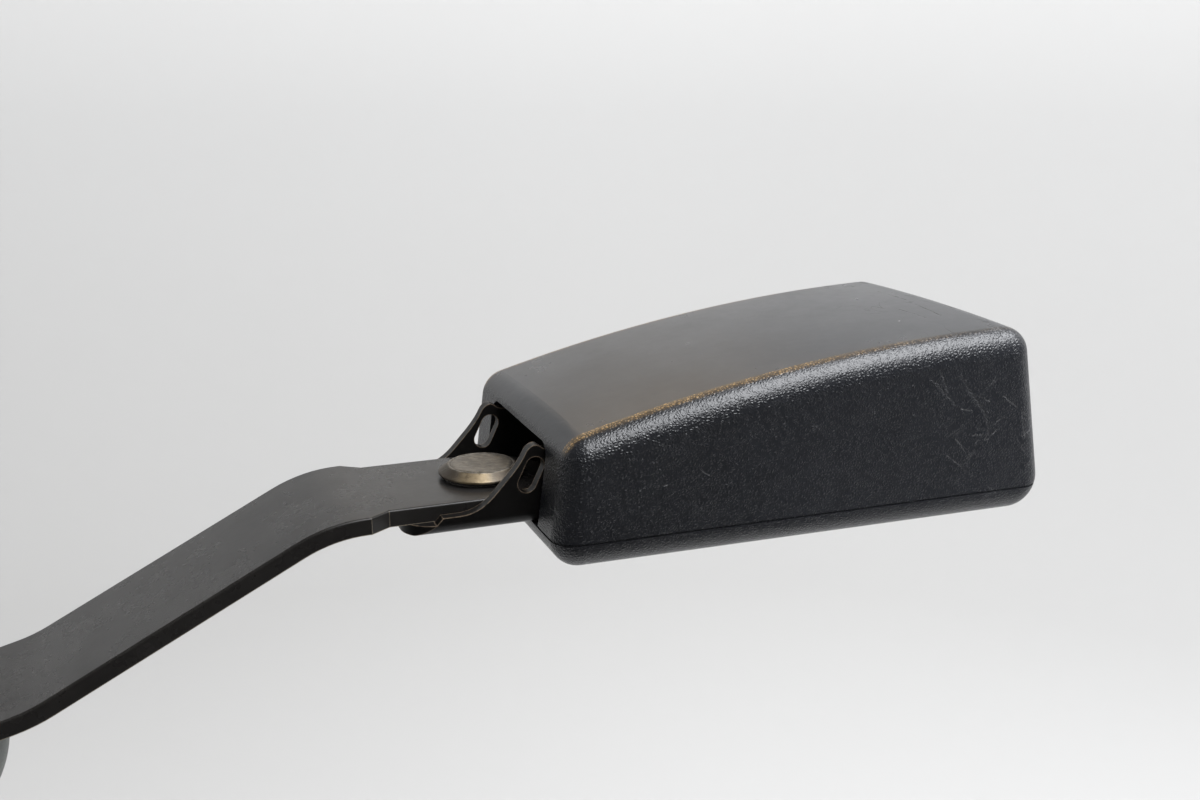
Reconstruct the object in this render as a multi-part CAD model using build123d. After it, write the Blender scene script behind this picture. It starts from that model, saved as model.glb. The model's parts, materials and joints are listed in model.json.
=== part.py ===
from build123d import *
from functools import cache
from math import cos, degrees, radians, sin, tan
import os

# Seat belt buckle on a bent steel anchor strap. Millimetres, +Z up.
# X runs from the anchor bolt to the mouth that takes the tongue, and Y across the buckle.
# Everything is laid out from the strap rivet: its axis is X 0, and the strap's upper face
# there is Z 0. The finished parts are moved so that the origin is the point where the
# anchor bolt's axis meets the seat of its spacer.

# Anchor strap
strap_thickness = 3.0
strap_width = 30.6
shoulder_depth = 2.45
shoulder_x = -20.0
shoulder_run = 3.5
upper_bend_x = -30.6
lower_bend_x = -80.0
slope_angle = 27.2
anchor_angle = 14.0
bend_radius = 24.0
eye_x = -99.8
strap_edge_radius = 0.45

# Anchor spacer, bolt and washers
spacer_height = 13.5
spacer_radius = 14.4
spacer_seat_radius = 9.2
spacer_rim = 3.0
spacer_bulge = 0.9
spacer_neck_radius = 8.0
swivel_fit = 0.06
washer_gap = 0.85
washer_thickness = 0.45
washer_width = 2.8
washer_bow = 0.3
washer_fit = 0.3
bolt_radius = 5.55
bolt_shank_radius = 5.6
bolt_fit = 0.15
bolt_reach = 16.0
bolt_point = 1.2
bolt_flange_radius = 11.8
bolt_flange_height = 2.0
bolt_flange_edge = 0.8
bolt_flange_step = 0.9
hexagon_across_flats = 17.0
hexagon_height = 6.6
hexagon_crown = 0.94
retainer_radius = 7.9
retainer_thickness = 1.2
retainer_recess = 1.5

# Strap rivet
rivet_radius = 4.0
rivet_rim_radius = 8.0
rivet_top_radius = 6.25
rivet_head_height = 1.75
rivet_rim_height = 0.35
rivet_washer_radius = 6.9
rivet_washer_thickness = 0.8
rivet_tail_radius = 4.8
rivet_tail_end_radius = 3.6
rivet_tail_height = 1.7
rivet_tail_edge = 0.5

# Steel frame
frame_thickness = 2.0
frame_side_play = 0.4
frame_outer_bend = 2.4
frame_rear_x = -17.5
frame_mouth_gap = 10.55
frame_rear_corner = 6.0
flange_lip = 1.25
flange_lip_x = -12.3
flange_lip_ramp = 1.1
flange_rise_x = -8.4
flange_curve_run = 6.7
flange_curve_rise = 5.6
flange_peak_x = 6.1
flange_peak_z = 9.6
flange_crest_run = 2.2
flange_crest_drop = 1.2
flange_crest_fall = 1.9
flange_middle_z = 8.6
flange_front_height = 6.2
flange_front_slope = 2.4
flange_margin = 2.6
window_length = 6.8
window_width = 3.4
window_tilt = 64.0
window_x = 4.8
window_z = 4.3

# Tongue that the buckle takes
tongue_thickness = 3.0
tongue_width = 24.0
tongue_play = 0.25

# Latch, its pin and the lock bar
pivot_x = 30.0
pivot_rise = 3.7
pivot_pin_radius = 2.5
pin_fit = 0.05
pin_head_radius = 3.4
pin_head_height = 1.0
latch_thickness = 3.0
latch_clearance = 0.65
latch_side_gap = 0.35
latch_ear_thickness = 2.5
latch_ear_radius = 4.6
latch_plate_x = 36.0
latch_front_x = 70.3
latch_ear_front = 2.0
latch_angle = 10.0
tooth_rear_x = 62.6
tooth_length = 3.7
tooth_width = 10.0
tooth_hole_gap = 0.65
tooth_side_gap = 0.4
tooth_point = 0.8
tooth_reach = 0.2
lock_bar_radius = 2.5
lock_bar_x = 54.0
lock_bar_rise = 5.6
slot_fit = 0.12
lock_bar_margin = 2.4
lock_bar_end = 0.3
lock_bar_chamfer = 0.4
latch_spring_x = 42.0
latch_spring_radius = 3.0
latch_spring_length = 8.0
latch_spring_wire = 0.6
latch_spring_turns = 5
latch_post_length = 2.0

# Release button, its slider and springs
button_travel = 6.0
button_side_margin = 6.4
button_bottom_z = 5.6
button_top_margin = 5.5
button_wall = 2.0
button_corner = 2.2
button_edge = 1.2
button_recess = 0.9
button_depth = 18.95
slider_plate = 2.4
slider_gap = 0.35
slider_drop = 1.0
slider_gusset = 7.0
slider_window_side = 6.0
slider_window_bottom = 3.0
slider_window_top = 3.0
arm_thickness = 3.0
arm_height = 8.4
arm_rear_x = 44.0
arm_boss_length = 3.6
arm_boss_rim = 0.4
spigot_length = 3.0
spigot_play = 0.3
button_spring_radius = 2.4
button_spring_wire = 0.6
button_spring_length = 18.0
button_spring_turns = 8
spring_side_gap = 0.4

# Ejector and its spring
ejector_rear_x = 45.0
ejector_bar_length = 11.0
ejector_front_x = 68.5
ejector_side_gap = 0.5
prong_inner = 5.9
keel_half_width = 2.9
keel_length = 10.0
keel_foot_half_width = 4.6
keel_foot_thickness = 1.3
keel_foot_length = 4.0
keel_foot_gap = 0.3
keel_foot_step = 2.0
prong_corner = 1.5
ejector_travel = 15.0
frame_slot_rear_gap = 13.0
frame_slot_half_width = 3.2
frame_spigot_length = 4.0
frame_spigot_share = 0.6
ejector_spring_radius = 2.7
ejector_spring_wire = 0.7
ejector_spring_turns = 11

# Housing
housing_wall = 2.3
housing_bottom_z = -10.1
seam_height = 5.05
seam_groove = 0.2
top_arc_radius = 354.0
top_arc_x = 104.7
top_arc_z = 26.5
crown_radius = 600.0
mouth_face_x = 103.55
mouth_angle = 10.1
rear_face_x = 6.05
rear_angle = 7.3
housing_side_room = 12.65
mouth_flare = 1.6
rear_top_corner = 5.5
mouth_top_corner = 5.0
mouth_bottom_corner = 6.4
rear_bottom_corner = 5.0
side_edge_radius = 4.7
least_corner = 0.4
rear_opening_gap = 1.4
rear_opening_top_z = 9.9
rear_opening_corner = 3.0
rear_opening_depth = 12.0
window_rim = 0.4
window_depth = 8.0
mouth_window_corner = 2.6

# Ribs, spring seats and snap hooks of the covers
rib_thickness = 2.0
rib_play = 0.2
rib_root = 0.4
locating_rib_x = 8.0
locating_rib_lap = 1.0
seat_rib_thickness = 2.6
seat_rib_drop = 1.0
boss_wall = 1.2
rail_gap = 5.0
rail_rear_x = 4.0
rear_cross_rib_x = 14.0
latch_cross_rib_x = 14.0
front_cross_rib_x = 18.0
cross_rib_gap = 1.0
hook_length = 9.0
hook_thickness = 1.5
hook_height = 5.2
hook_lip = 0.8
hook_nose = 2.1
hook_nose_play = 0.3
hook_gap = 0.4
hook_places = (36.0, 74.0)

# Tongue guide
guide_slot_side_play = 1.6
guide_slot_height = 5.5
guide_top_z = 5.2
guide_seam_gap = 0.15
guide_lap = 0.6
guide_flange = 2.2
guide_flange_depth = 0.9
guide_flange_lift = 0.3
guide_flare = 1.2
guide_flare_depth = 4.0
guide_flare_out = 1.5
guide_rear_gap = 0.3

# How far cutting shapes reach past the faces that they cut, and past the whole buckle
over = 1.0
far_out = 60.0

# Heights and places that follow from the sizes above
neck_width = strap_width - 2 * shoulder_depth
frame_front_x = mouth_face_x - frame_mouth_gap
frame_slot_rear_x = ejector_rear_x - ejector_travel - frame_slot_rear_gap
base_top = -strap_thickness
base_bottom = base_top - frame_thickness
channel_bottom = base_top + tongue_play
channel_top = channel_bottom + tongue_thickness
latch_bottom = channel_top + latch_clearance
latch_top = latch_bottom + latch_thickness
pivot_z = latch_bottom + pivot_rise
lock_bar_z = pivot_z + lock_bar_rise
tooth_front_x = tooth_rear_x + tooth_length
guide_slot_width = tongue_width + 2 * guide_slot_side_play
frame_inner = neck_width / 2 + frame_side_play
frame_outer = frame_inner + frame_thickness
flange_top = lock_bar_z + lock_bar_radius + slot_fit + flange_margin
latch_outer = frame_inner - latch_side_gap
latch_inner = latch_outer - latch_ear_thickness
arm_inner = frame_outer + slider_gap
arm_outer = arm_inner + arm_thickness
button_spring_y = frame_outer + spring_side_gap + button_spring_radius
button_spring_seat_x = arm_rear_x - button_spring_length
rear_half_width = frame_outer + housing_side_room
mouth_half_width = rear_half_width + mouth_flare
button_half_width = mouth_half_width - button_side_margin
button_top_z = top_arc_z - button_top_margin
button_rear_x = mouth_face_x - button_depth
slider_top_z = button_top_z - button_wall - slider_drop
seam_z = housing_bottom_z + seam_height
floor_z = housing_bottom_z + housing_wall
mouth_window_top_z = button_top_z + window_rim
mouth_window_half = button_half_width + window_rim + guide_lap

# Directions of the strap's lower end
anchor_along = Vector(cos(radians(anchor_angle)), 0, sin(radians(anchor_angle)))
anchor_up = Vector(-sin(radians(anchor_angle)), 0, cos(radians(anchor_angle)))


def strap_vertices(depth):
    """Corners of the strap's side line at a depth under its upper face, before the bends."""
    first = Vector(upper_bend_x, 0, 0)
    drop = (upper_bend_x - lower_bend_x) * tan(radians(slope_angle))
    second = Vector(lower_bend_x, 0, -drop)
    flat_up = Vector(0, 0, 1)
    slope_up = Vector(-sin(radians(slope_angle)), 0, cos(radians(slope_angle)))
    first -= (flat_up + slope_up) * (depth / (1 + flat_up.dot(slope_up)))
    second -= (slope_up + anchor_up) * (depth / (1 + slope_up.dot(anchor_up)))
    return first, second


def eye_centre(depth=0.0):
    """Middle of the strap's eye at a depth under its upper face."""
    corner = strap_vertices(0)[1]
    along = (corner.X - eye_x) / anchor_along.X
    return corner - anchor_along * along - anchor_up * depth


seat_point = eye_centre(strap_thickness + swivel_fit + spacer_height)
seat_plane = Plane(origin=seat_point, x_dir=anchor_along, z_dir=anchor_up)
eye_plane = Plane(origin=eye_centre(), x_dir=anchor_along, z_dir=anchor_up)


def side_face(*edges):
    """Face in the XZ plane, from edges that are given there."""
    return make_face(edges)


def across(face, low_y, high_y):
    """Solid from a face in the XZ plane, reaching from low_y to high_y."""
    solid = extrude(face, amount=high_y - low_y, dir=(0, 1, 0))
    return Pos(0, low_y, 0) * solid


def block(x_range, y_range, z_range):
    """Box between three pairs of limits."""
    size = [high - low for low, high in (x_range, y_range, z_range)]
    middle = [(high + low) / 2 for low, high in (x_range, y_range, z_range)]
    return Pos(*middle) * Box(*size)


def both_sides(part):
    """The part and its mirror image on the other side of the buckle."""
    return part + mirror(part, Plane.XZ)


def cross_pin(radius, half_length, x, z):
    """Round bar across the buckle."""
    return Pos(x, 0, z) * Rot(90, 0, 0) * Cylinder(radius, 2 * half_length)


def turned(outline):
    """Solid of revolution about Z from (radius, height) points."""
    face = make_face(Polyline(*[(radius, 0, height) for radius, height in outline], close=True))
    return revolve(face, Axis.Z)


def coil_spring(radius, wire, length, turns):
    """Compression spring along Z from 0 to length, with ends ground flat."""
    mean = radius - wire / 2
    pitch = (length + wire) / turns
    path = Helix(pitch=pitch, height=length + wire, radius=mean)
    section = Plane(origin=path @ 0, z_dir=path % 0) * RegularPolygon(wire / 2, 8)
    coil = Pos(0, 0, -wire / 2) * sweep(section, path, is_frenet=True)
    return coil & Pos(0, 0, length / 2) * Cylinder(radius + wire, length)


def spring_between(start, end, radius, wire, turns):
    """Compression spring between two points."""
    start, end = Vector(*start), Vector(*end)
    run = end - start
    return Plane(origin=start, z_dir=run) * coil_spring(radius, wire, run.length, turns)


def bar_in_latch(travel):
    """Lock bar's centre as the latch plate sees it, after some travel of the button."""
    angle = radians(latch_angle) * travel / button_travel
    x = lock_bar_x - travel - pivot_x
    z = lock_bar_rise
    return (pivot_x + x * cos(angle) + z * sin(angle), 0, pivot_z - x * sin(angle) + z * cos(angle))


def anchor_strap():
    """Flat steel strap: rounded neck at the rivet, two bends, eye for the anchor bolt."""
    tip = eye_centre() - anchor_along * (strap_width / 2)
    front = (neck_width / 2, 0, 0)
    upper = strap_vertices(0)
    lower = strap_vertices(strap_thickness)
    low_tip = tip - anchor_up * strap_thickness
    low_front = (neck_width / 2, 0, base_top)
    inside, outside = bend_radius, bend_radius + strap_thickness
    top = FilletPolyline(front, *upper, tip, radius=[outside, inside])
    bottom = FilletPolyline(low_front, *lower, low_tip, radius=[inside, outside])
    side = side_face(top, Line(tip, low_tip), bottom, Line(low_front, front))
    strap = across(side, -strap_width / 2, strap_width / 2)
    reach = 2 * (strap_width - eye_x)
    half, neck = strap_width / 2, neck_width / 2
    shoulder_end = shoulder_x - shoulder_run
    neck_outline = make_face(Polyline(
        (-reach, -half), (shoulder_end, -half), (shoulder_x, -neck), (0, -neck),
        (0, neck), (shoulder_x, neck), (shoulder_end, half), (-reach, half), close=True))
    neck_outline += Circle(neck)
    eye_outline = Pos(reach / 2, 0) * Rectangle(reach, strap_width) + Circle(half)
    strap &= extrude(neck_outline, amount=reach, both=True)
    strap &= extrude(eye_plane * eye_outline, amount=reach, both=True)
    strap = fillet(upper_rim(strap), strap_edge_radius)
    strap -= Cylinder(rivet_radius + pin_fit, 4 * strap_thickness)
    strap -= eye_plane * Cylinder(spacer_neck_radius + swivel_fit, 4 * strap_thickness)
    return strap


def upper_rim(strap):
    """Edges round the strap's upper face."""
    def faces_up(face):
        return face.normal_at().Z > 0.8
    upper = [face for face in strap.faces() if faces_up(face)]
    lower_or_side = [face for face in strap.faces() if not faces_up(face)]
    shared = [edge for face in upper for edge in face.edges()]
    others = [edge for face in lower_or_side for edge in face.edges()]
    return ShapeList(edge for edge in shared if any(edge.is_same(other) for other in others))


def spacer_bush():
    """Turned spacer under the eye, with the neck that the strap turns on."""
    neck_top = spacer_height + swivel_fit + strap_thickness + washer_gap
    bore = bolt_shank_radius + bolt_fit
    rim_z = spacer_height - spacer_rim
    middle = (spacer_seat_radius + spacer_radius) / 2 + spacer_bulge
    flare = ThreePointArc(
        (spacer_seat_radius, 0, 0), (middle, 0, rim_z / 2), (spacer_radius, 0, rim_z))
    rest = Polyline(
        (spacer_radius, 0, rim_z), (spacer_radius, 0, spacer_height),
        (spacer_neck_radius, 0, spacer_height), (spacer_neck_radius, 0, neck_top),
        (bore, 0, neck_top), (bore, 0, 0), (spacer_seat_radius, 0, 0))
    bush = revolve(make_face([flare, rest]), Axis.Z)
    bush -= Pos(0, 0, retainer_recess / 2) * Cylinder(retainer_radius + pin_fit, retainer_recess)
    return seat_plane * bush


def bolt_head_z():
    """Height of the bolt flange's underside above the spacer's seat."""
    return spacer_height + swivel_fit + strap_thickness + washer_gap


def anchor_bolt():
    """Flanged hexagon bolt through the spacer."""
    under = bolt_head_z()
    flange_top_z = under + bolt_flange_height
    flat_radius = hexagon_across_flats / 2
    shank = turned([
        (0, -bolt_reach), (bolt_radius - bolt_point, -bolt_reach),
        (bolt_radius, bolt_point - bolt_reach), (bolt_radius, 0),
        (bolt_shank_radius, retainer_recess), (bolt_shank_radius, under), (0, under)])
    flange = turned([
        (0, under), (bolt_flange_radius, under), (bolt_flange_radius, under + bolt_flange_edge),
        (flat_radius + bolt_flange_step, flange_top_z), (0, flange_top_z)])
    hexagon = RegularPolygon(flat_radius, 6, major_radius=False)
    head = Pos(0, 0, flange_top_z) * extrude(hexagon, amount=hexagon_height)
    dome = turned([
        (0, flange_top_z), (hexagon_across_flats, flange_top_z),
        (flat_radius * hexagon_crown, flange_top_z + hexagon_height),
        (0, flange_top_z + hexagon_height)])
    return seat_plane * (shank + flange + (head & dome))


def bolt_retainer():
    """Thin ring in the spacer's recess that keeps the bolt in until it is fitted."""
    ring = Cylinder(retainer_radius, retainer_thickness)
    ring -= Cylinder(bolt_radius + pin_fit, 2 * retainer_thickness)
    return seat_plane * Pos(0, 0, retainer_recess - retainer_thickness / 2) * ring


def spring_washer():
    """Curved spring washer between the strap and the bolt's flange."""
    inner = spacer_neck_radius + washer_fit
    outer = inner + washer_width
    bend = outer ** 2 / (2 * washer_bow)
    ring = Cylinder(outer, 4 * washer_gap) - Cylinder(inner, 5 * washer_gap)
    shell = Cylinder(bend + washer_thickness, 3 * outer) - Cylinder(bend, 4 * outer)
    low = (washer_gap - washer_thickness - washer_bow) / 2
    bowed = ring & Pos(0, 0, low + washer_bow - bend) * Rot(90, 0, 0) * shell
    return seat_plane * Pos(0, 0, bolt_head_z() - washer_gap) * bowed


def strap_rivet():
    """Rivet with a bevelled head on its washer and a set tail under the frame."""
    rim = rivet_washer_thickness
    tail = base_bottom - rivet_tail_height
    return turned([
        (0, rim + rivet_head_height), (rivet_top_radius, rim + rivet_head_height),
        (rivet_rim_radius, rim + rivet_rim_height), (rivet_rim_radius, rim),
        (rivet_radius, rim), (rivet_radius, base_bottom), (rivet_tail_radius, base_bottom),
        (rivet_tail_radius, base_bottom - rivet_tail_edge), (rivet_tail_end_radius, tail), (0, tail)])


def rivet_washer():
    """Washer that holds the rivet's rim clear of the strap."""
    ring = Cylinder(rivet_washer_radius, rivet_washer_thickness)
    ring -= Cylinder(rivet_radius + pin_fit, 2 * rivet_washer_thickness)
    return Pos(0, 0, rivet_washer_thickness / 2) * ring


def flange_outline():
    """Side view of the frame, from its low rear lip to the front of the channel."""
    lip_z = base_top + flange_lip
    peak = (flange_peak_x, 0, flange_peak_z)
    slot_rear = lock_bar_x - button_travel - lock_bar_radius - flange_margin
    slot_front = lock_bar_x + lock_bar_radius + flange_margin + slot_fit
    front_z = base_top + flange_front_height
    step = flange_top - flange_middle_z
    drop = flange_top - front_z
    crest_start = (flange_peak_x - flange_crest_run, 0, flange_peak_z - flange_crest_drop)
    crest_end = (flange_peak_x + flange_crest_fall, 0, flange_middle_z)
    rear = Polyline(
        (frame_rear_x, 0, base_bottom), (frame_rear_x, 0, base_top), (flange_lip_x, 0, base_top),
        (flange_lip_x + flange_lip_ramp, 0, lip_z), (flange_rise_x, 0, lip_z))
    middle = (flange_peak_x - flange_curve_run, 0, base_top + flange_curve_rise)
    rise = Spline(
        (flange_rise_x, 0, lip_z), middle, crest_start, tangents=[(1, 0, 0), (0.5, 0, 1)])
    crest = Spline(crest_start, peak, crest_end, tangents=[(0.5, 0, 1), (1, 0, -0.15)])
    top = Polyline(
        crest_end, (slot_rear - step, 0, flange_middle_z),
        (slot_rear, 0, flange_top), (slot_front, 0, flange_top),
        (slot_front + drop / flange_front_slope, 0, front_z), (frame_front_x, 0, front_z),
        (frame_front_x, 0, base_bottom), (frame_rear_x, 0, base_bottom))
    return side_face(rear, rise, crest, top)


def flange_window():
    """Slanted rounded window through a flange at its rear crest."""
    slot = Plane.XZ * SlotOverall(window_length, window_width)
    solid = extrude(slot, amount=2 * frame_outer, both=True)
    return Pos(window_x, 0, window_z) * Rot(0, -window_tilt, 0) * solid


def base_opening():
    """Slot for the ejector's keel and spring, joined to the hole that the latch tooth enters."""
    through = (base_bottom - over, base_top + over)
    slot_half = frame_slot_half_width
    slot = block((frame_slot_rear_x, tooth_rear_x), (-slot_half, slot_half), through)
    hole_half = tooth_width / 2 + tooth_side_gap
    hole_x = (tooth_rear_x - tooth_hole_gap, tooth_front_x + tooth_hole_gap)
    hole = block(hole_x, (-hole_half, hole_half), through)
    spigot_half = (ejector_spring_radius - ejector_spring_wire) * frame_spigot_share
    spigot_x = (frame_slot_rear_x - over, frame_slot_rear_x + frame_spigot_length)
    spigot = block(spigot_x, (-spigot_half, spigot_half), through)
    return slot + hole - spigot


def buckle_frame():
    """Pressed steel channel that carries the strap, the latch and the lock bar."""
    tall = flange_top - base_bottom
    inner_bend = frame_outer_bend - frame_thickness
    outer = Rectangle(2 * frame_outer, 2 * tall)
    outer = fillet(outer.vertices(), frame_outer_bend)
    inner = Rectangle(2 * frame_inner, 2 * (tall - frame_thickness))
    inner = fillet(inner.vertices(), inner_bend)
    ring = Plane.YZ * (outer - inner)
    tube = extrude(ring, amount=2 * frame_front_x, both=True)
    channel = Pos(0, 0, base_bottom + tall) * tube
    frame = channel & across(flange_outline(), -frame_outer, frame_outer)
    length = frame_front_x - frame_rear_x
    plan = Pos(frame_rear_x + length / 2, 0) * Rectangle(length, 2 * frame_outer)
    plan = fillet(plan.vertices().group_by(Axis.X)[0], frame_rear_corner)
    frame &= extrude(plan, amount=2 * tall, both=True)
    frame -= flange_window()
    frame -= base_opening()
    frame -= Cylinder(rivet_radius + pin_fit, 8 * frame_thickness)
    frame -= cross_pin(pivot_pin_radius + pin_fit, 2 * frame_outer, pivot_x, pivot_z)
    slot_length = button_travel + 2 * (lock_bar_radius + slot_fit) + slot_fit
    slot = Plane.XZ * SlotOverall(slot_length, 2 * (lock_bar_radius + slot_fit))
    slot = extrude(slot, amount=2 * frame_outer, both=True)
    frame -= Pos(lock_bar_x - button_travel / 2, 0, lock_bar_z) * slot
    return frame


def latch_pivot_pin():
    """Headed pin through both flanges and the latch's ears, with its tail set over."""
    pin = cross_pin(pivot_pin_radius, frame_outer + pin_head_height, pivot_x, pivot_z)
    head = cross_pin(pin_head_radius, pin_head_height / 2, pivot_x, pivot_z)
    head = Pos(0, frame_outer + pin_head_height / 2, 0) * head
    return pin + both_sides(head)


def latch_plate():
    """Latch: flat tongue plate with two upright ears, cam slots and a bevelled tooth."""
    rest_bar = bar_in_latch(0)
    ear_front = lock_bar_x + lock_bar_radius + lock_bar_margin + latch_ear_front
    ear_hull = make_hull(
        (Pos(pivot_x, pivot_z) * Circle(latch_ear_radius)).edges()
        + (Pos(rest_bar[0], rest_bar[2]) * Circle(lock_bar_radius + lock_bar_margin)).edges()
        + Polyline((ear_front, latch_bottom), (ear_front, latch_top)).edges()
        + Polyline((latch_plate_x, latch_bottom), (ear_front, latch_bottom)).edges())
    ear = extrude(Plane.XZ * ear_hull, amount=-latch_ear_thickness)
    ear = Pos(0, latch_inner, 0) * ear
    heights = (latch_bottom, latch_top)
    plate = block((latch_plate_x, latch_front_x), (-latch_outer, latch_outer), heights)
    cut_heights = (latch_bottom - over, latch_top + over)
    for side in (-1, 1):
        plate -= block(
            (ear_front, latch_front_x + over),
            sorted((side * latch_inner, side * (latch_outer + over))), cut_heights)
    bevel = channel_top - base_top + latch_clearance
    tooth_bottom = base_bottom - tooth_reach
    tooth_side = side_face(Polyline(
        (tooth_rear_x, 0, latch_top), (tooth_rear_x, 0, tooth_bottom),
        (tooth_front_x - tooth_point, 0, tooth_bottom), (tooth_front_x, 0, tooth_bottom + tooth_point),
        (tooth_front_x, 0, base_top), (tooth_front_x + bevel, 0, latch_bottom),
        (tooth_front_x + bevel, 0, latch_top), (tooth_rear_x, 0, latch_top)))
    tooth = across(tooth_side, -tooth_width / 2, tooth_width / 2)
    tooth &= block(
        (tooth_rear_x, latch_front_x), (-tooth_width, tooth_width), (tooth_bottom, latch_top))
    latch = both_sides(ear) + plate + tooth
    latch -= cross_pin(pivot_pin_radius + pin_fit, 2 * frame_outer, pivot_x, pivot_z)
    path = ThreePointArc(*[bar_in_latch(button_travel * share) for share in (0, 0.5, 1)])
    width = 2 * (lock_bar_radius + slot_fit)
    cam = extrude(cam_slot(path, width), amount=2 * frame_outer, dir=(0, 1, 0), both=True)
    return latch - cam


def cam_slot(path, width):
    """Round-ended slot in the XZ plane along an arc that lies there."""
    flat = ThreePointArc(*[(point.X, point.Z) for point in (path @ 0, path @ 0.5, path @ 1)])
    return Plane(origin=(0, 0, 0), x_dir=(1, 0, 0), z_dir=(0, -1, 0)) * SlotArc(flat, width)


def lock_bar():
    """Steel bar across the frame that holds the latch down and lifts it."""
    bar = cross_pin(lock_bar_radius, arm_outer + lock_bar_end, lock_bar_x, lock_bar_z)
    return chamfer(bar.edges().filter_by(GeomType.CIRCLE), lock_bar_chamfer)


def latch_spring():
    """Small coil spring between the latch plate and a boss of the upper cover."""
    return spring_between(
        (latch_spring_x, 0, latch_top), (latch_spring_x, 0, latch_top + latch_spring_length),
        latch_spring_radius, latch_spring_wire, latch_spring_turns)


def spigot(radius, wire, length, x, y, z):
    """Round nub along X from the given point, which keeps the end of a spring in its place."""
    nub = Cylinder(radius - wire - spigot_play, length, align=(Align.CENTER, Align.CENTER, Align.MIN))
    return Pos(x, y, z) * Rot(0, 90, 0) * nub


def button_slider():
    """Yoke behind the button: front plate and two arms that carry the lock bar."""
    front_x = button_rear_x
    plate_x = front_x - slider_plate
    arm_low, arm_high = lock_bar_z - arm_height / 2, lock_bar_z + arm_height / 2
    arm = block((arm_rear_x, front_x), (arm_inner, arm_outer), (arm_low, arm_high))
    boss_outer = button_spring_y + button_spring_radius
    boss_half = button_spring_radius + arm_boss_rim
    arm += block(
        (arm_rear_x, arm_rear_x + arm_boss_length), (arm_inner, boss_outer),
        (lock_bar_z - boss_half, lock_bar_z + boss_half))
    arm += spigot(
        button_spring_radius, button_spring_wire, spigot_length + over,
        arm_rear_x - spigot_length, button_spring_y, lock_bar_z)
    gusset = side_face(Polyline(
        (plate_x - slider_gusset, 0, arm_high), (front_x, 0, arm_high), (front_x, 0, slider_top_z),
        (plate_x, 0, slider_top_z), (plate_x - slider_gusset, 0, arm_high)))
    arm += across(gusset, arm_inner, arm_outer)
    plate_low = button_bottom_z + button_wall
    plate = block((plate_x, front_x), (-arm_outer, arm_outer), (plate_low, slider_top_z))
    window_half = arm_inner - slider_window_side
    plate -= block(
        (plate_x - over, front_x + over), (-window_half, window_half),
        (plate_low + slider_window_bottom, slider_top_z - slider_window_top))
    slider = both_sides(arm) + plate
    return slider - cross_pin(lock_bar_radius + pin_fit, 2 * arm_outer, lock_bar_x, lock_bar_z)


def mouth_x(z):
    """Where the housing's slanted mouth face stands at a height."""
    return mouth_face_x - z * tan(radians(mouth_angle))


def rear_x(z):
    """Where the housing's leaning rear face stands at a height."""
    return rear_face_x + z * tan(radians(rear_angle))


def behind_mouth(depth, rear_x, low_z, high_z, half_width):
    """Block whose front is parallel to the mouth face, some depth behind it."""
    outline = side_face(Polyline(
        (rear_x, 0, low_z), (mouth_x(low_z) - depth, 0, low_z),
        (mouth_x(high_z) - depth, 0, high_z), (rear_x, 0, high_z), (rear_x, 0, low_z)))
    return across(outline, -half_width, half_width)


def release_button():
    """Red push button: a cap, open at the rear, with rounded edges and a dished face."""
    half = button_half_width
    cap = behind_mouth(button_recess, button_rear_x, button_bottom_z, button_top_z, half)
    lengthwise = [edge for edge in cap.edges() if abs(edge.tangent_at(0.5).X) > 0.9]
    cap = fillet(lengthwise, button_corner)
    front = cap.faces().sort_by(Axis.X)[-1]
    cap = fillet(front.edges(), button_edge)
    hollow = behind_mouth(
        button_recess + button_wall, button_rear_x - over, button_bottom_z + button_wall,
        button_top_z - button_wall, half - button_wall)
    return cap - hollow


def button_springs():
    """Near and far return springs between the cover's seats and the slider's arms."""
    springs = {}
    for name, side in (("near", -1), ("far", 1)):
        y = side * button_spring_y
        springs[name] = spring_between(
            (button_spring_seat_x, y, lock_bar_z), (arm_rear_x, y, lock_bar_z),
            button_spring_radius, button_spring_wire, button_spring_turns)
    return springs


def ejector_slide():
    """Forked slide that pushes the tongue out: prongs either side of the tooth, keel below."""
    half = latch_inner - ejector_side_gap
    bar_front = ejector_rear_x + ejector_bar_length
    slide = block((ejector_rear_x, ejector_front_x), (-half, half), (channel_bottom, channel_top))
    slide = fillet(slide.edges().filter_by(Axis.Z).group_by(Axis.X)[-1], prong_corner)
    slide -= block(
        (bar_front, ejector_front_x + over), (-prong_inner, prong_inner),
        (channel_bottom - over, channel_top + over))
    foot_top = base_bottom - keel_foot_gap
    slide += block(
        (ejector_rear_x, ejector_rear_x + keel_length), (-keel_half_width, keel_half_width),
        (foot_top - keel_foot_thickness, channel_bottom))
    foot_x = ejector_rear_x + keel_foot_step
    slide += block(
        (foot_x, foot_x + keel_foot_length), (-keel_foot_half_width, keel_foot_half_width),
        (foot_top - keel_foot_thickness, foot_top))
    return slide


def ejector_spring():
    """Coil spring in the frame's slot, behind the ejector's keel."""
    axis_z = (base_top + base_bottom) / 2
    return spring_between(
        (frame_slot_rear_x, 0, axis_z), (ejector_rear_x, 0, axis_z),
        ejector_spring_radius, ejector_spring_wire, ejector_spring_turns)


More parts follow.
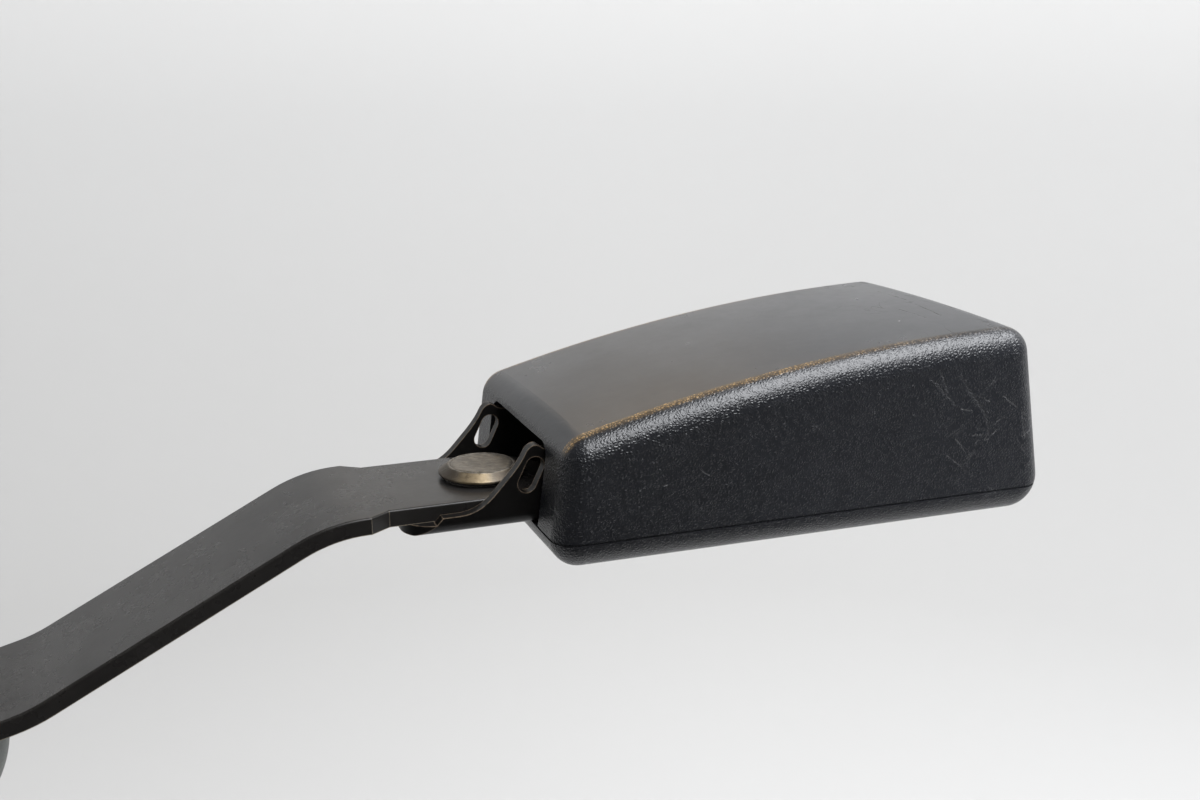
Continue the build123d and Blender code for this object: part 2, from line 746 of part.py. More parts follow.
def tongue_guide():
    """Moulded insert at the mouth with the flared slot for the tongue."""
    rear_x = frame_front_x + guide_rear_gap
    low = seam_z + guide_seam_gap
    half = mouth_window_half - window_rim
    guide = behind_mouth(button_recess, rear_x, low, guide_top_z, half)
    guide += behind_mouth(
        housing_wall + guide_flange_depth, rear_x, seam_z + guide_flange_lift, guide_top_z,
        half + guide_flange)
    slot_top = base_top + guide_slot_height
    slot_half = guide_slot_width / 2
    guide -= block(
        (rear_x - over, mouth_x(low) + over), (-slot_half, slot_half), (base_top, slot_top))
    middle_z = (slot_top + base_top) / 2
    front_x = mouth_x(middle_z) - button_recess
    inner = Plane(origin=(front_x - guide_flare_depth, 0, middle_z), x_dir=(0, 1, 0), z_dir=(1, 0, 0))
    outer = Plane(origin=(front_x + guide_flare_out, 0, middle_z), x_dir=(0, 1, 0), z_dir=(1, 0, 0))
    flare = loft([
        inner * Rectangle(guide_slot_width, guide_slot_height),
        outer * Rectangle(guide_slot_width + 3 * guide_flare, guide_slot_height + 2 * guide_flare)])
    return guide - flare


def drawn_in(radius, inset):
    """Radius of an outer corner on a surface that lies an inset inside it."""
    return max(radius - inset, least_corner)


@cache
def housing_form(inset):
    """Closed form of the housing, drawn in by an inset: arched, crowned and tapered."""
    low, high = housing_bottom_z + inset, top_arc_z + far_out
    rear_shift = inset / cos(radians(rear_angle))
    mouth_shift = inset / cos(radians(mouth_angle))
    side = make_face(Polyline(
        (rear_x(low) + rear_shift, low), (mouth_x(low) - mouth_shift, low),
        (mouth_x(high) - mouth_shift, high), (rear_x(high) + rear_shift, high), close=True))
    for place, corner in ((0, rear_bottom_corner), (-1, mouth_bottom_corner)):
        lowest = side.vertices().group_by(Axis.Y)[0].sort_by(Axis.X)
        side = fillet(lowest[place], drawn_in(corner, inset))
    form = extrude(Plane.XZ * side, amount=2 * mouth_half_width, both=True)
    form &= extrude(plan_face(inset), amount=2 * high, both=True)
    form &= crowned_top(inset)
    form = fillet(top_face_edges(form)[0], drawn_in(rear_top_corner, inset))
    form = fillet(top_face_edges(form)[-1], drawn_in(mouth_top_corner, inset))
    sides = form.faces().sort_by(Axis.Y)
    return fillet(sides[0].edges() + sides[-1].edges(), drawn_in(side_edge_radius, inset))


def half_width(x):
    """Half the housing's width, which grows a little towards the mouth."""
    slope = (mouth_half_width - rear_half_width) / (mouth_face_x - rear_face_x)
    return rear_half_width + slope * (x - rear_face_x)


def plan_face(inset):
    """Housing seen from above, without its ends, drawn in by an inset."""
    end_x = mouth_face_x + far_out
    rear, front = half_width(0) - inset, half_width(end_x) - inset
    return make_face(Polyline((0, -rear), (end_x, -front), (end_x, front), (0, rear), close=True))


def crowned_top(inset):
    """Everything under the housing's top surface, arched along X and crowned across it."""
    crest_z = top_arc_z - inset
    radius = top_arc_radius - inset
    reach = 1.5 * mouth_face_x
    end_z = crest_z - radius + (radius ** 2 - reach ** 2) ** 0.5
    arc = ThreePointArc(
        (top_arc_x - reach, 0, end_z), (top_arc_x, 0, crest_z), (top_arc_x + reach, 0, end_z))
    low_z = end_z - far_out
    under = Polyline(
        (top_arc_x + reach, 0, end_z), (top_arc_x + reach, 0, low_z),
        (top_arc_x - reach, 0, low_z), (top_arc_x - reach, 0, end_z))
    axis = Axis((0, 0, crest_z - crown_radius + inset), (1, 0, 0))
    spread = degrees(far_out / crown_radius)
    return revolve(side_face(arc, under).rotate(axis, -spread), axis, 2 * spread)


def top_face_edges(form):
    """Edges of the housing's top surface, from the rear to the mouth."""
    top = form.faces().sort_by(SortBy.AREA)[-3:].sort_by(Axis.Z)[-1]
    return top.edges().sort_by(Axis.X)


def wall_band(outer_inset, inner_inset, x_range, z_range):
    """Upright strips that follow the housing's two sides, between two insets."""
    band = extrude(plan_face(outer_inset) - plan_face(inner_inset), amount=z_range[1] - z_range[0])
    return Pos(0, 0, z_range[0]) * band & block(x_range, (-far_out, far_out), z_range)


def whole_slice(low_z, high_z):
    """Everything of the housing between two heights."""
    return block((-far_out, mouth_face_x + far_out), (-far_out, far_out), (low_z, high_z))


def seam_cut(low_z, high_z):
    """Shallow groove round the housing at the parting line."""
    ring = housing_form(-over) - housing_form(seam_groove)
    return ring & whole_slice(low_z, high_z)


def rear_opening(low_z):
    """Space at the rear that the frame passes through, from a height up to its rounded top."""
    half = frame_outer + rear_opening_gap
    opening = block(
        (-far_out, rear_x(0) + rear_opening_depth), (-half, half), (low_z, rear_opening_top_z))
    return fillet(opening.edges().filter_by(Axis.X).group_by(Axis.Z)[-1], rear_opening_corner)


def mouth_window():
    """Space in the mouth face for the button and the tongue guide, open down to the seam."""
    rear = mouth_x(mouth_window_top_z) - window_depth
    window = block(
        (rear, mouth_face_x + far_out), (-mouth_window_half, mouth_window_half),
        (seam_z - over, mouth_window_top_z))
    return fillet(window.edges().filter_by(Axis.X).group_by(Axis.Z)[-1], mouth_window_corner)


def hook_spans():
    """X limits of each pair of snap hooks."""
    return [(x - hook_length / 2, x + hook_length / 2) for x in hook_places]


def upper_cover():
    """Arched upper shell with its rear opening, mouth window, ribs and spring seats."""
    shell = housing_form(0) - housing_form(housing_wall)
    cover = shell & whole_slice(seam_z, far_out)
    cover -= seam_cut(seam_z - over, seam_z + seam_groove)
    cover -= rear_opening(seam_z - over) + mouth_window()
    top = seam_z + hook_height
    heights = (top - hook_nose - hook_nose_play, top + hook_nose_play)
    for x_range in hook_spans():
        wider = (x_range[0] - rib_play, x_range[1] + rib_play)
        cover -= wall_band(
            housing_wall - hook_lip - rib_play, housing_wall + over, wider, heights)
    return cover + cover_ribs()


def cover_ribs():
    """Ribs inside the upper cover that hold the frame, the slider and the springs."""
    deep, high = 2 * mouth_half_width, 2 * top_arc_z
    rib_low = seam_z + rib_root
    locating_x = (rear_x(0) + locating_rib_x, rear_x(0) + locating_rib_x + rib_thickness)
    rib = block(locating_x, (frame_outer + rib_play, deep), (rib_low, high))
    rib += block(locating_x, (frame_inner - locating_rib_lap, deep), (flange_middle_z + rib_play, high))
    seat_low = lock_bar_z - button_spring_radius - seat_rib_drop
    seat_x = (button_spring_seat_x - seat_rib_thickness, button_spring_seat_x)
    rib += block(seat_x, (arm_inner, deep), (seat_low, high))
    guide_x = (tooth_front_x, tooth_front_x + rib_thickness)
    rib += block(guide_x, (arm_outer + slider_gap, deep), (rib_low, high))
    ribs = both_sides(rib)
    boss_z = latch_top + latch_spring_length
    upright = (Align.CENTER, Align.CENTER, Align.MIN)
    boss = Pos(latch_spring_x, 0, boss_z) * Cylinder(latch_spring_radius + boss_wall, high, align=upright)
    ribs = (ribs + boss) & housing_form(housing_wall - rib_root)
    ribs += both_sides(spigot(
        button_spring_radius, button_spring_wire, spigot_length + over,
        button_spring_seat_x - over, button_spring_y, lock_bar_z))
    post_radius = latch_spring_radius - latch_spring_wire - spigot_play
    post = Cylinder(post_radius, latch_post_length + over, align=upright)
    return ribs + Pos(latch_spring_x, 0, boss_z - latch_post_length) * post


def lower_cover():
    """Shallow tray under the parting line, with frame ribs, a rear lip and snap hooks."""
    shell = housing_form(0) - housing_form(housing_wall)
    tray = shell & whole_slice(-far_out, seam_z)
    tray -= seam_cut(seam_z - seam_groove, seam_z + over)
    tray -= rear_opening(base_bottom - rib_play)
    rail_inner = keel_foot_half_width + rail_gap
    rail_z = (floor_z - rib_root, base_bottom)
    rail = block(
        (rear_x(0) + rail_rear_x, frame_front_x), (rail_inner, rail_inner + rib_thickness), rail_z)
    rib_places = (
        rear_x(0) + rear_cross_rib_x, pivot_x + latch_cross_rib_x, lock_bar_x + front_cross_rib_x)
    for x in rib_places:
        rib_end = half_width(x) - housing_wall - hook_gap - hook_thickness - cross_rib_gap
        rail += block((x, x + rib_thickness), (rail_inner, rib_end), rail_z)
    tray += both_sides(rail)
    outer = housing_wall + hook_gap
    top = seam_z + hook_height
    for x_range in hook_spans():
        tray += wall_band(outer, outer + hook_thickness, x_range, (floor_z - rib_root, top))
        tray += wall_band(housing_wall - hook_lip, outer + rib_root, x_range, (top - hook_nose, top))
    return tray


def save(name, part):
    """Write one part, moved so that the origin is at the anchor bolt's seat."""
    export_step(Pos(-seat_point.X, 0, -seat_point.Z) * part, f"parts/{name}.step")


def main():
    os.makedirs("parts", exist_ok=True)
    springs = button_springs()
    parts = {
        "spacer_bush": spacer_bush(),
        "anchor_bolt": anchor_bolt(),
        "bolt_retainer": bolt_retainer(),
        "spring_washer": spring_washer(),
        "anchor_strap": anchor_strap(),
        "strap_rivet": strap_rivet(),
        "rivet_washer": rivet_washer(),
        "buckle_frame": buckle_frame(),
        "latch_pivot_pin": latch_pivot_pin(),
        "latch_plate": latch_plate(),
        "latch_spring": latch_spring(),
        "lock_bar": lock_bar(),
        "button_slider": button_slider(),
        "release_button": release_button(),
        "button_spring_near": springs["near"],
        "button_spring_far": springs["far"],
        "ejector_slide": ejector_slide(),
        "ejector_spring": ejector_spring(),
        "tongue_guide": tongue_guide(),
        "upper_cover": upper_cover(),
        "lower_cover": lower_cover(),
    }
    for name, part in parts.items():
        save(name, part)


if __name__ == "__main__":
    main()
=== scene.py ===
import json
import math

import bmesh
import bpy
from bpy.props import FloatProperty, FloatVectorProperty, PointerProperty
from mathutils import Euler, Matrix, Vector, noise


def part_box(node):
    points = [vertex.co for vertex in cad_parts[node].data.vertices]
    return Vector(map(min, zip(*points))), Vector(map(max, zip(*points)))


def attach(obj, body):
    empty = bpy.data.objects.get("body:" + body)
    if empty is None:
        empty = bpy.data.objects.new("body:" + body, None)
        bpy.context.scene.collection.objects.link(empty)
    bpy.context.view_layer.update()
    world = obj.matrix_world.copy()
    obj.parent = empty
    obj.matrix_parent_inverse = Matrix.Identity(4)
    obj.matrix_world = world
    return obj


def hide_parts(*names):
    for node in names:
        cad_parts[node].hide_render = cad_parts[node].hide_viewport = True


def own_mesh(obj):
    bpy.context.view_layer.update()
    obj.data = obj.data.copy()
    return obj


bl_info = {
    "name": "Belt Buckle Finisher",
    "version": (1, 0, 0),
    "blender": (4, 5, 0),
    "location": "3D View > Sidebar > Buckle",
    "description": "Dresses the packed belt buckle and sets it on a pale studio stage",
    "category": "Object",
}

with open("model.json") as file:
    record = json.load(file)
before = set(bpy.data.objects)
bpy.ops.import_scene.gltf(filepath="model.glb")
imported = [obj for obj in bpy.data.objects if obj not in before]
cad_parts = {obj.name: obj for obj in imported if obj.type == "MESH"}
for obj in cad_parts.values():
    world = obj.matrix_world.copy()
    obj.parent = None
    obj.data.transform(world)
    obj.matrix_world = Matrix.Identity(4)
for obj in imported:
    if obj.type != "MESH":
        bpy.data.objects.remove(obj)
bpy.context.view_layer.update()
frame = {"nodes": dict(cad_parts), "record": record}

MM = 0.001
RIVET_LOW, RIVET_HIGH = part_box("strap_rivet")
HOUSING_LOW, HOUSING_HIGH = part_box("upper_cover")
ANCHOR_MOUNT = next(m for m in frame["record"]["mounts"] if m["name"] == "anchor_bolt")
ANCHOR_DOWN = Vector(ANCHOR_MOUNT["axis"]).normalized()
BOLT_FRAME = ANCHOR_DOWN.to_track_quat("-Z", "Y").to_matrix().to_4x4()
RIVET_HEAD = 2.55 * MM
# On the rivet's axis, at the height of the strap's top
STRAP_TOP = Vector(((RIVET_LOW.x + RIVET_HIGH.x) / 2, 0, RIVET_HIGH.z - RIVET_HEAD))
# Where the lights point
BUCKLE_MIDDLE = Vector((0.11, 0, 0.05))


# Sizes and colours that a user would change

def length(name, description, default, low=0.0):
    """A length in metres."""
    return FloatProperty(
        name=name, description=description, default=default, min=low, unit="LENGTH", subtype="DISTANCE",
        precision=5)


def share(name, description, default):
    """A factor from nothing to all."""
    return FloatProperty(
        name=name, description=description, default=default, min=0.0, max=1.0, subtype="FACTOR")


def colour(name, description, default):
    """A colour."""
    return FloatVectorProperty(
        name=name, description=description, default=default, size=3, min=0.0, max=1.0, subtype="COLOR")


def angle(name, description, degrees):
    """An angle, with its default in degrees."""
    return FloatProperty(name=name, description=description, default=math.radians(degrees), unit="ROTATION",
                         subtype="ANGLE")


class BuckleStudio(bpy.types.PropertyGroup):
    """Stage, lights and camera."""
    floor_drop: length("Floor drop", "Height of the buckle's anchor seat over the floor", 0.42)
    bowl_radius: length("Bowl radius", "Distance from the buckle to the pale wall", 1.5)
    bowl_height: length("Bowl height", "Height of the pale wall over the floor", 1.5)
    bowl_colour: colour("Bowl", "Colour of the floor and wall", (0.80, 0.80, 0.795))
    softbox_power: FloatProperty(
        name="Softbox power", description="Power of the light overhead", default=33.0, min=0.0, unit="POWER")
    softbox_width: length("Softbox width", "Width of the light overhead", 1.25)
    softbox_depth: length("Softbox depth", "Depth of the light overhead", 0.75)
    softbox_height: length("Softbox height", "Height of the light over the buckle", 1.0)
    softbox_colour: colour("Softbox", "Colour of the light overhead", (0.955, 0.97, 1.0))
    lamp_power: FloatProperty(
        name="Lamp power", description="Power of the warm strip behind the buckle", default=0.9, min=0.0,
        unit="POWER")
    lamp_colour: colour("Lamp", "Colour of the warm strip", (1.0, 0.74, 0.42))
    room_light: share("Room light", "Strength of the light that comes from all round", 0.74)
    camera_azimuth: angle("Camera azimuth", "Turn of the camera round the buckle", -20.62)
    camera_elevation: angle("Camera elevation", "Height of the camera over the horizon", 15.41)
    camera_roll: angle("Camera roll", "Roll of the camera", -0.09)
    camera_x: length("Camera X", "Place of the camera along the buckle, from the rivet", -0.061606, -1.0)
    camera_y: length("Camera Y", "Place of the camera across the buckle, from the rivet", -0.226096, -1.0)
    camera_z: length("Camera Z", "Height of the camera over the strap at the rivet", 0.078725, -1.0)
    camera_lens: FloatProperty(
        name="Lens", description="Focal length on a 36 mm sensor, in millimetres", default=39.8, min=1.0)


class BuckleBolt(bpy.types.PropertyGroup):
    """Sizes of the anchor bolt, along its axis from the spacer's seat."""
    root: length("Root", "Radius at the thread's root", 0.00488)
    crest: length("Crest", "Radius at the thread's crest", 0.00553)
    pitch: length("Pitch", "Pitch of the thread", 0.00127, 0.0005)
    reach: length("Reach", "Length below the seat", 0.016)
    shank: length("Shank", "Radius of the shank in the spacer", 0.0056)
    head_height: length("Head height", "Height of the flange over the seat", 0.01741)
    flange: length("Flange", "Thickness of the flange", 0.002)
    flange_radius: length("Flange radius", "Radius of the flange", 0.0118)
    across_flats: length("Across flats", "Width of the hexagon", 0.017)
    hexagon: length("Hexagon", "Height of the hexagon", 0.0066)


class BuckleFinish(bpy.types.PropertyGroup):
    """Colours and grain of the buckle's surfaces."""
    plastic: colour("Housing", "Colour of the moulded covers", (0.0088, 0.0094, 0.0112))
    grain_size: length("Grain size", "Width of one pebble of the moulded grain", 0.00056, 0.00001)
    grain_depth: length("Grain depth", "Depth of the moulded grain", 0.00012)
    paint: colour("Paint", "Colour of the strap's paint", (0.0100, 0.0092, 0.0087))
    bare_steel: colour("Bare steel", "Colour of steel where the paint is worn off", (0.36, 0.31, 0.24))
    brown_edge: colour("Cut edge", "Colour of the frame's worn cut edges", (0.26, 0.20, 0.145))
    rivet: colour("Rivet", "Colour of the rivet's dull zinc", (0.185, 0.168, 0.142))
    # Colour of the stain on the rivet's cone, and of the painted highlight where the cone faces the camera
    rivet_stain: colour("Rivet stain", "Colour of the stain on the rivet's cone", (0.25, 0.19, 0.11))
    button: colour("Button", "Colour of the push button", (0.50, 0.014, 0.010))
    acetal: colour("Acetal", "Colour of the slider and the ejector", (0.72, 0.70, 0.63))
    spacer: colour("Spacer", "Colour of the anchor spacer", (0.060, 0.068, 0.062))
    wear: share("Wear", "Amount of wear along the edges", 0.8)
    dust: share("Dust", "Amount of dust on what faces up", 0.35)


# Short calls that fill a node tree

def add(tree, kind, inputs=None, **settings):
    """A node with its settings and its inputs, which are values or other nodes' outputs."""
    made = tree.nodes.new(kind)
    for key, value in settings.items():
        setattr(made, key, value)
    for key, value in (inputs or {}).items():
        if isinstance(value, bpy.types.NodeSocket):
            tree.links.new(value, made.inputs[key])
        else:
            made.inputs[key].default_value = value
    return made


def maths(tree, operation, first, second=0.0, clamp=False):
    """One operation on one or two values."""
    return add(tree, "ShaderNodeMath", {0: first, 1: second}, operation=operation, use_clamp=clamp).outputs[0]


def product(tree, first, *others):
    """All the values multiplied."""
    for value in others:
        first = maths(tree, "MULTIPLY", first, value)
    return first


def vector_maths(tree, operation, first, second=(0, 0, 0), output="Vector"):
    """One operation on one or two vectors."""
    return add(tree, "ShaderNodeVectorMath", {0: first, 1: second}, operation=operation).outputs[output]


def scaled(tree, vector, factor):
    """Vector or colour times a factor."""
    inputs = {0: vector, "Scale": factor}
    return add(tree, "ShaderNodeVectorMath", inputs, operation="SCALE").outputs[0]


def mixed_colour(tree, factor, first, second):
    """Colour between two others."""
    inputs = {0: factor, 6: opaque(first), 7: opaque(second)}
    return add(tree, "ShaderNodeMix", inputs, data_type="RGBA").outputs[2]


def overlaid(tree, base, mask, strength, tint):
    """A colour with a tint over it where a mask shows."""
    return mixed_colour(tree, product(tree, mask, strength), base, tint)


def mixed_value(tree, factor, first, second):
    """Value between two others."""
    return add(tree, "ShaderNodeMix", {0: factor, 2: first, 3: second}, data_type="FLOAT").outputs[0]


def opaque(value):
    """A colour with its alpha, or a socket as it is."""
    return value if isinstance(value, bpy.types.NodeSocket) else (*value[:3], 1.0)


def remapped(tree, value, low, high, to_low=0.0, to_high=1.0):
    """Smooth step from one range to another."""
    inputs = {"Value": value, "From Min": low, "From Max": high, "To Min": to_low, "To Max": to_high}
    return add(tree, "ShaderNodeMapRange", inputs, interpolation_type="SMOOTHSTEP").outputs["Result"]


def cloudy(tree, place, scale, detail=3.0, roughness=0.5, distortion=0.0):
    """Noise from 0 to 1."""
    inputs = {
        "Vector": place, "Scale": scale, "Detail": detail, "Roughness": roughness, "Distortion": distortion}
    return add(tree, "ShaderNodeTexNoise", inputs).outputs["Fac"]


def axis_of(tree, vector, axis):
    """One part of a vector."""
    return add(tree, "ShaderNodeSeparateXYZ", {0: vector}).outputs[axis]


def stretched(tree, place, scale, turn=(0, 0, 0)):
    """Coordinates turned and then scaled along each axis."""
    turned = add(tree, "ShaderNodeMapping", {"Vector": place, "Rotation": turn}).outputs[0]
    return add(tree, "ShaderNodeMapping", {"Vector": turned, "Scale": scale}).outputs[0]


# Effects that more than one finish uses

def effect(name, inputs, outputs):
    """Empty shader node group with named float or vector sockets; returns it, its inputs and its outlet."""
    group = bpy.data.node_groups.new(name, "ShaderNodeTree")
    for key, default in inputs.items():
        kind = "NodeSocketVector" if isinstance(default, tuple) else "NodeSocketFloat"
        group.interface.new_socket(name=key, in_out="INPUT", socket_type=kind).default_value = default
    for key in outputs:
        group.interface.new_socket(name=key, in_out="OUTPUT", socket_type="NodeSocketFloat")
    return group, group.nodes.new("NodeGroupInput").outputs, group.nodes.new("NodeGroupOutput").inputs


def edge_wear_effect():
    """Mask along convex and concave edges, broken up by noise."""
    tree, given, out = effect(
        "edge_wear", {"Place": (0.0, 0.0, 0.0), "Radius": 0.0004, "Breakup": 900.0, "Amount": 0.8}, ["Mask"])
    rounded = add(tree, "ShaderNodeBevel", {"Radius": given["Radius"]}, samples=6).outputs[0]
    true = add(tree, "ShaderNodeNewGeometry").outputs["Normal"]
    same = vector_maths(tree, "DOT_PRODUCT", rounded, true, "Value")
    edge = remapped(tree, maths(tree, "SUBTRACT", 1.0, same), 0.008, 0.07)
    rough = cloudy(tree, given["Place"], given["Breakup"], 4.0, 0.65)
    limit = maths(tree, "SUBTRACT", 1.0, given["Amount"])
    patchy = remapped(tree, rough, limit, maths(tree, "ADD", limit, 0.35))
    tree.links.new(product(tree, edge, patchy), out["Mask"])
    return tree


def grain_effect():
    """Height of the pebbles that a textured mould leaves."""
    tree, given, out = effect("moulded_grain", {"Place": (0.0, 0.0, 0.0), "Cells": 2000.0}, ["Height"])
    wobble = cloudy(tree, given["Place"], product(tree, given["Cells"], 0.6), 2.0)
    shift = product(tree, maths(tree, "SUBTRACT", wobble, 0.5), 0.0005)
    shifts = add(tree, "ShaderNodeCombineXYZ", {0: shift, 1: shift, 2: shift}).outputs[0]
    bent = vector_maths(tree, "ADD", given["Place"], shifts)
    edges = add(
        tree, "ShaderNodeTexVoronoi", {"Vector": bent, "Scale": given["Cells"]}, feature="DISTANCE_TO_EDGE")
    dome = remapped(tree, edges.outputs["Distance"], 0.0, 0.45)
    coarse = cloudy(tree, given["Place"], product(tree, given["Cells"], 0.22), 2.0)
    height = maths(tree, "ADD", product(tree, dome, 0.7), product(tree, coarse, 0.6))
    tree.links.new(height, out["Height"])
    return tree


def dust_effect():
    """Mask of the dust that settles on what faces up."""
    tree, given, out = effect("settled_dust", {"Place": (0.0, 0.0, 0.0), "Amount": 0.3}, ["Mask"])
    facing = axis_of(tree, add(tree, "ShaderNodeTexCoord").outputs["Normal"], "Z")
    upward = remapped(tree, facing, 0.35, 1.0)
    patches = remapped(tree, cloudy(tree, given["Place"], 120.0, 5.0, 0.6), 0.35, 0.75)
    fine = remapped(tree, cloudy(tree, given["Place"], 3200.0, 2.0), 0.45, 0.7)
    speckled = maths(tree, "ADD", 0.35, product(tree, fine, 0.65))
    tree.links.new(product(tree, patches, speckled, upward, given["Amount"]), out["Mask"])
    return tree


def hairline_effect():
    """Mask of fine scratches that run mostly one way, in scattered patches."""
    tree, given, out = effect(
        "hairlines", {"Place": (0.0, 0.0, 0.0), "Lines": 260.0, "Width": 0.012, "Patches": 60.0}, ["Mask"])
    field = cloudy(tree, given["Place"], given["Lines"], 1.0, 0.4, 0.6)
    off = maths(tree, "ABSOLUTE", maths(tree, "SUBTRACT", field, 0.5))
    line = maths(tree, "SUBTRACT", 1.0, remapped(tree, off, 0.0, given["Width"]))
    patch = remapped(tree, cloudy(tree, given["Place"], given["Patches"], 2.0), 0.5, 0.66)
    tree.links.new(product(tree, line, patch), out["Mask"])
    return tree


def stroke_effect():
    """Mask of one stroke of a scratch from a start to an end, a little unsteady."""
    inputs = {
        "Place": (0.0, 0.0, 0.0), "Start": (0.0, 0.0, 0.0), "End": (0.0, 0.0, 0.01), "Width": 0.0002}
    tree, given, out = effect("stroke", inputs, ["Mask"])
    unsteady = {"Vector": given["Place"], "Scale": 260.0, "Detail": 3.0}
    wobble = add(tree, "ShaderNodeTexNoise", unsteady).outputs["Color"]
    centred = vector_maths(tree, "SUBTRACT", wobble, (0.5, 0.5, 0.5))
    drift = scaled(tree, centred, 0.0012)
    place = vector_maths(tree, "ADD", given["Place"], drift)
    from_start = vector_maths(tree, "SUBTRACT", place, given["Start"])
    run = vector_maths(tree, "SUBTRACT", given["End"], given["Start"])
    along = vector_maths(tree, "DOT_PRODUCT", from_start, run, "Value")
    whole = maths(tree, "ADD", vector_maths(tree, "DOT_PRODUCT", run, run, "Value"), 1e-9)
    portion = maths(tree, "DIVIDE", along, whole, clamp=True)
    nearest = scaled(tree, run, portion)
    distance = vector_maths(tree, "DISTANCE", from_start, nearest, "Value")
    grit = remapped(tree, cloudy(tree, given["Place"], 2600.0, 2.0), 0.38, 0.55)
    line = maths(tree, "SUBTRACT", 1.0, remapped(tree, distance, 0.0, given["Width"]))
    tree.links.new(product(tree, line, grit), out["Mask"])
    return tree


def speck_effect():
    """Mask of small scattered specks."""
    tree, given, out = effect(
        "specks", {"Place": (0.0, 0.0, 0.0), "Spread": 110.0, "Size": 0.03, "Rarity": 0.8}, ["Mask"])
    dots = add(
        tree, "ShaderNodeTexVoronoi", {"Vector": given["Place"], "Scale": given["Spread"]}, feature="F1")
    near = maths(tree, "LESS_THAN", dots.outputs["Distance"], given["Size"])
    chosen = maths(tree, "GREATER_THAN", axis_of(tree, dots.outputs["Color"], "X"), given["Rarity"])
    tree.links.new(product(tree, near, chosen), out["Mask"])
    return tree


def mottle_effect():
    """Slow variation between two values."""
    tree, given, out = effect(
        "mottle", {"Place": (0.0, 0.0, 0.0), "Scale": 40.0, "Low": 0.3, "High": 0.5}, ["Value"])
    slow = cloudy(tree, given["Place"], given["Scale"], 4.0, 0.6)
    quick = cloudy(tree, given["Place"], product(tree, given["Scale"], 9.0), 3.0)
    both = maths(tree, "ADD", product(tree, slow, 0.7), product(tree, quick, 0.3))
    inputs = {
        "Value": both, "From Min": 0.3, "From Max": 0.7, "To Min": given["Low"], "To Max": given["High"]}
    tree.links.new(add(tree, "ShaderNodeMapRange", inputs).outputs["Result"], out["Value"])
    return tree


EFFECTS = {
    "edge_wear": edge_wear_effect,
    "moulded_grain": grain_effect,
    "settled_dust": dust_effect,
    "hairlines": hairline_effect,
    "stroke": stroke_effect,
    "specks": speck_effect,
    "mottle": mottle_effect,
}


def use(tree, name, **inputs):
    """Place a shared effect in a tree and return its outputs."""
    group = bpy.data.node_groups.get(name) or EFFECTS[name]()
    placed = tree.nodes.new("ShaderNodeGroup")
    placed.node_tree = group
    for key, value in inputs.items():
        socket = placed.inputs[key.replace("_", " ")]
        if isinstance(value, bpy.types.NodeSocket):
            tree.links.new(value, socket)
        else:
            socket.default_value = value
    return placed.outputs


# Finishes

def new_finish(name):
    """Empty material; returns it, its tree and the coordinates that its patterns read."""
    material = bpy.data.materials.new(name)
    material.use_nodes = True
    tree = material.node_tree
    tree.nodes.clear()
    return material, tree, add(tree, "ShaderNodeTexCoord").outputs["Object"]


def finished(tree, base, roughness, height, depth, metallic=0.0, **constants):
    """The shader itself, with a bump of a depth in metres."""
    bump = add(tree, "ShaderNodeBump", {"Height": height, "Distance": depth, "Strength": 1.0}).outputs[0]
    inputs = {"Base Color": opaque(base), "Roughness": roughness, "Metallic": metallic, "Normal": bump}
    inputs.update({key.replace("_", " "): value for key, value in constants.items()})
    shader = add(tree, "ShaderNodeBsdfPrincipled", inputs)
    add(tree, "ShaderNodeOutputMaterial", {"Surface": shader.outputs[0]})


# Colours of what lies on the buckle and of what is worn off it, and of painted light: the gold glint mixed
# into the housing's worn lip, the sheen towards its mouth and the shade on the rivet's cone
DUST, HOUSING_SPECKS, STEEL_SPECKS = (0.30, 0.29, 0.27), (0.50, 0.50, 0.48), (0.30, 0.27, 0.23)
LIP_WEAR_AND_GLINT_BROWN, SCUFF_GREY, MOUTH_SHEEN_GREY = (0.34, 0.225, 0.105), (0.21, 0.21, 0.205), (0.026, 0.028, 0.034)
RUBBED_STEEL, RUBBED_PHOSPHATE = (0.75, 0.74, 0.72), (0.32, 0.31, 0.29)
RIVET_SHADE, RIVET_GRIME, RIVET_RING = (0.052, 0.042, 0.032), (0.06, 0.048, 0.036), (0.07, 0.06, 0.05)

# The housing's top in millimetres: radius across, radius along and where along it is highest
CROWN_RADIUS, ARCH_RADIUS, ARCH_TOP = 600.0, 354.0, 104.7
# How far the near flank moves in for each unit along, from the mouth to the rear
FLANK_FLARE = 0.0164
# How far from the mouth the scuffs reach, and where they are at full strength
SCUFF_REACH, SCUFF_FULL = 36.0 * MM, 6.0 * MM
# How far from the mouth the worn lip and its painted gold glint have faded, and how far from the rear they
# begin to
LIP_FADED, LIP_FULL = 12.0 * MM, 42.0 * MM

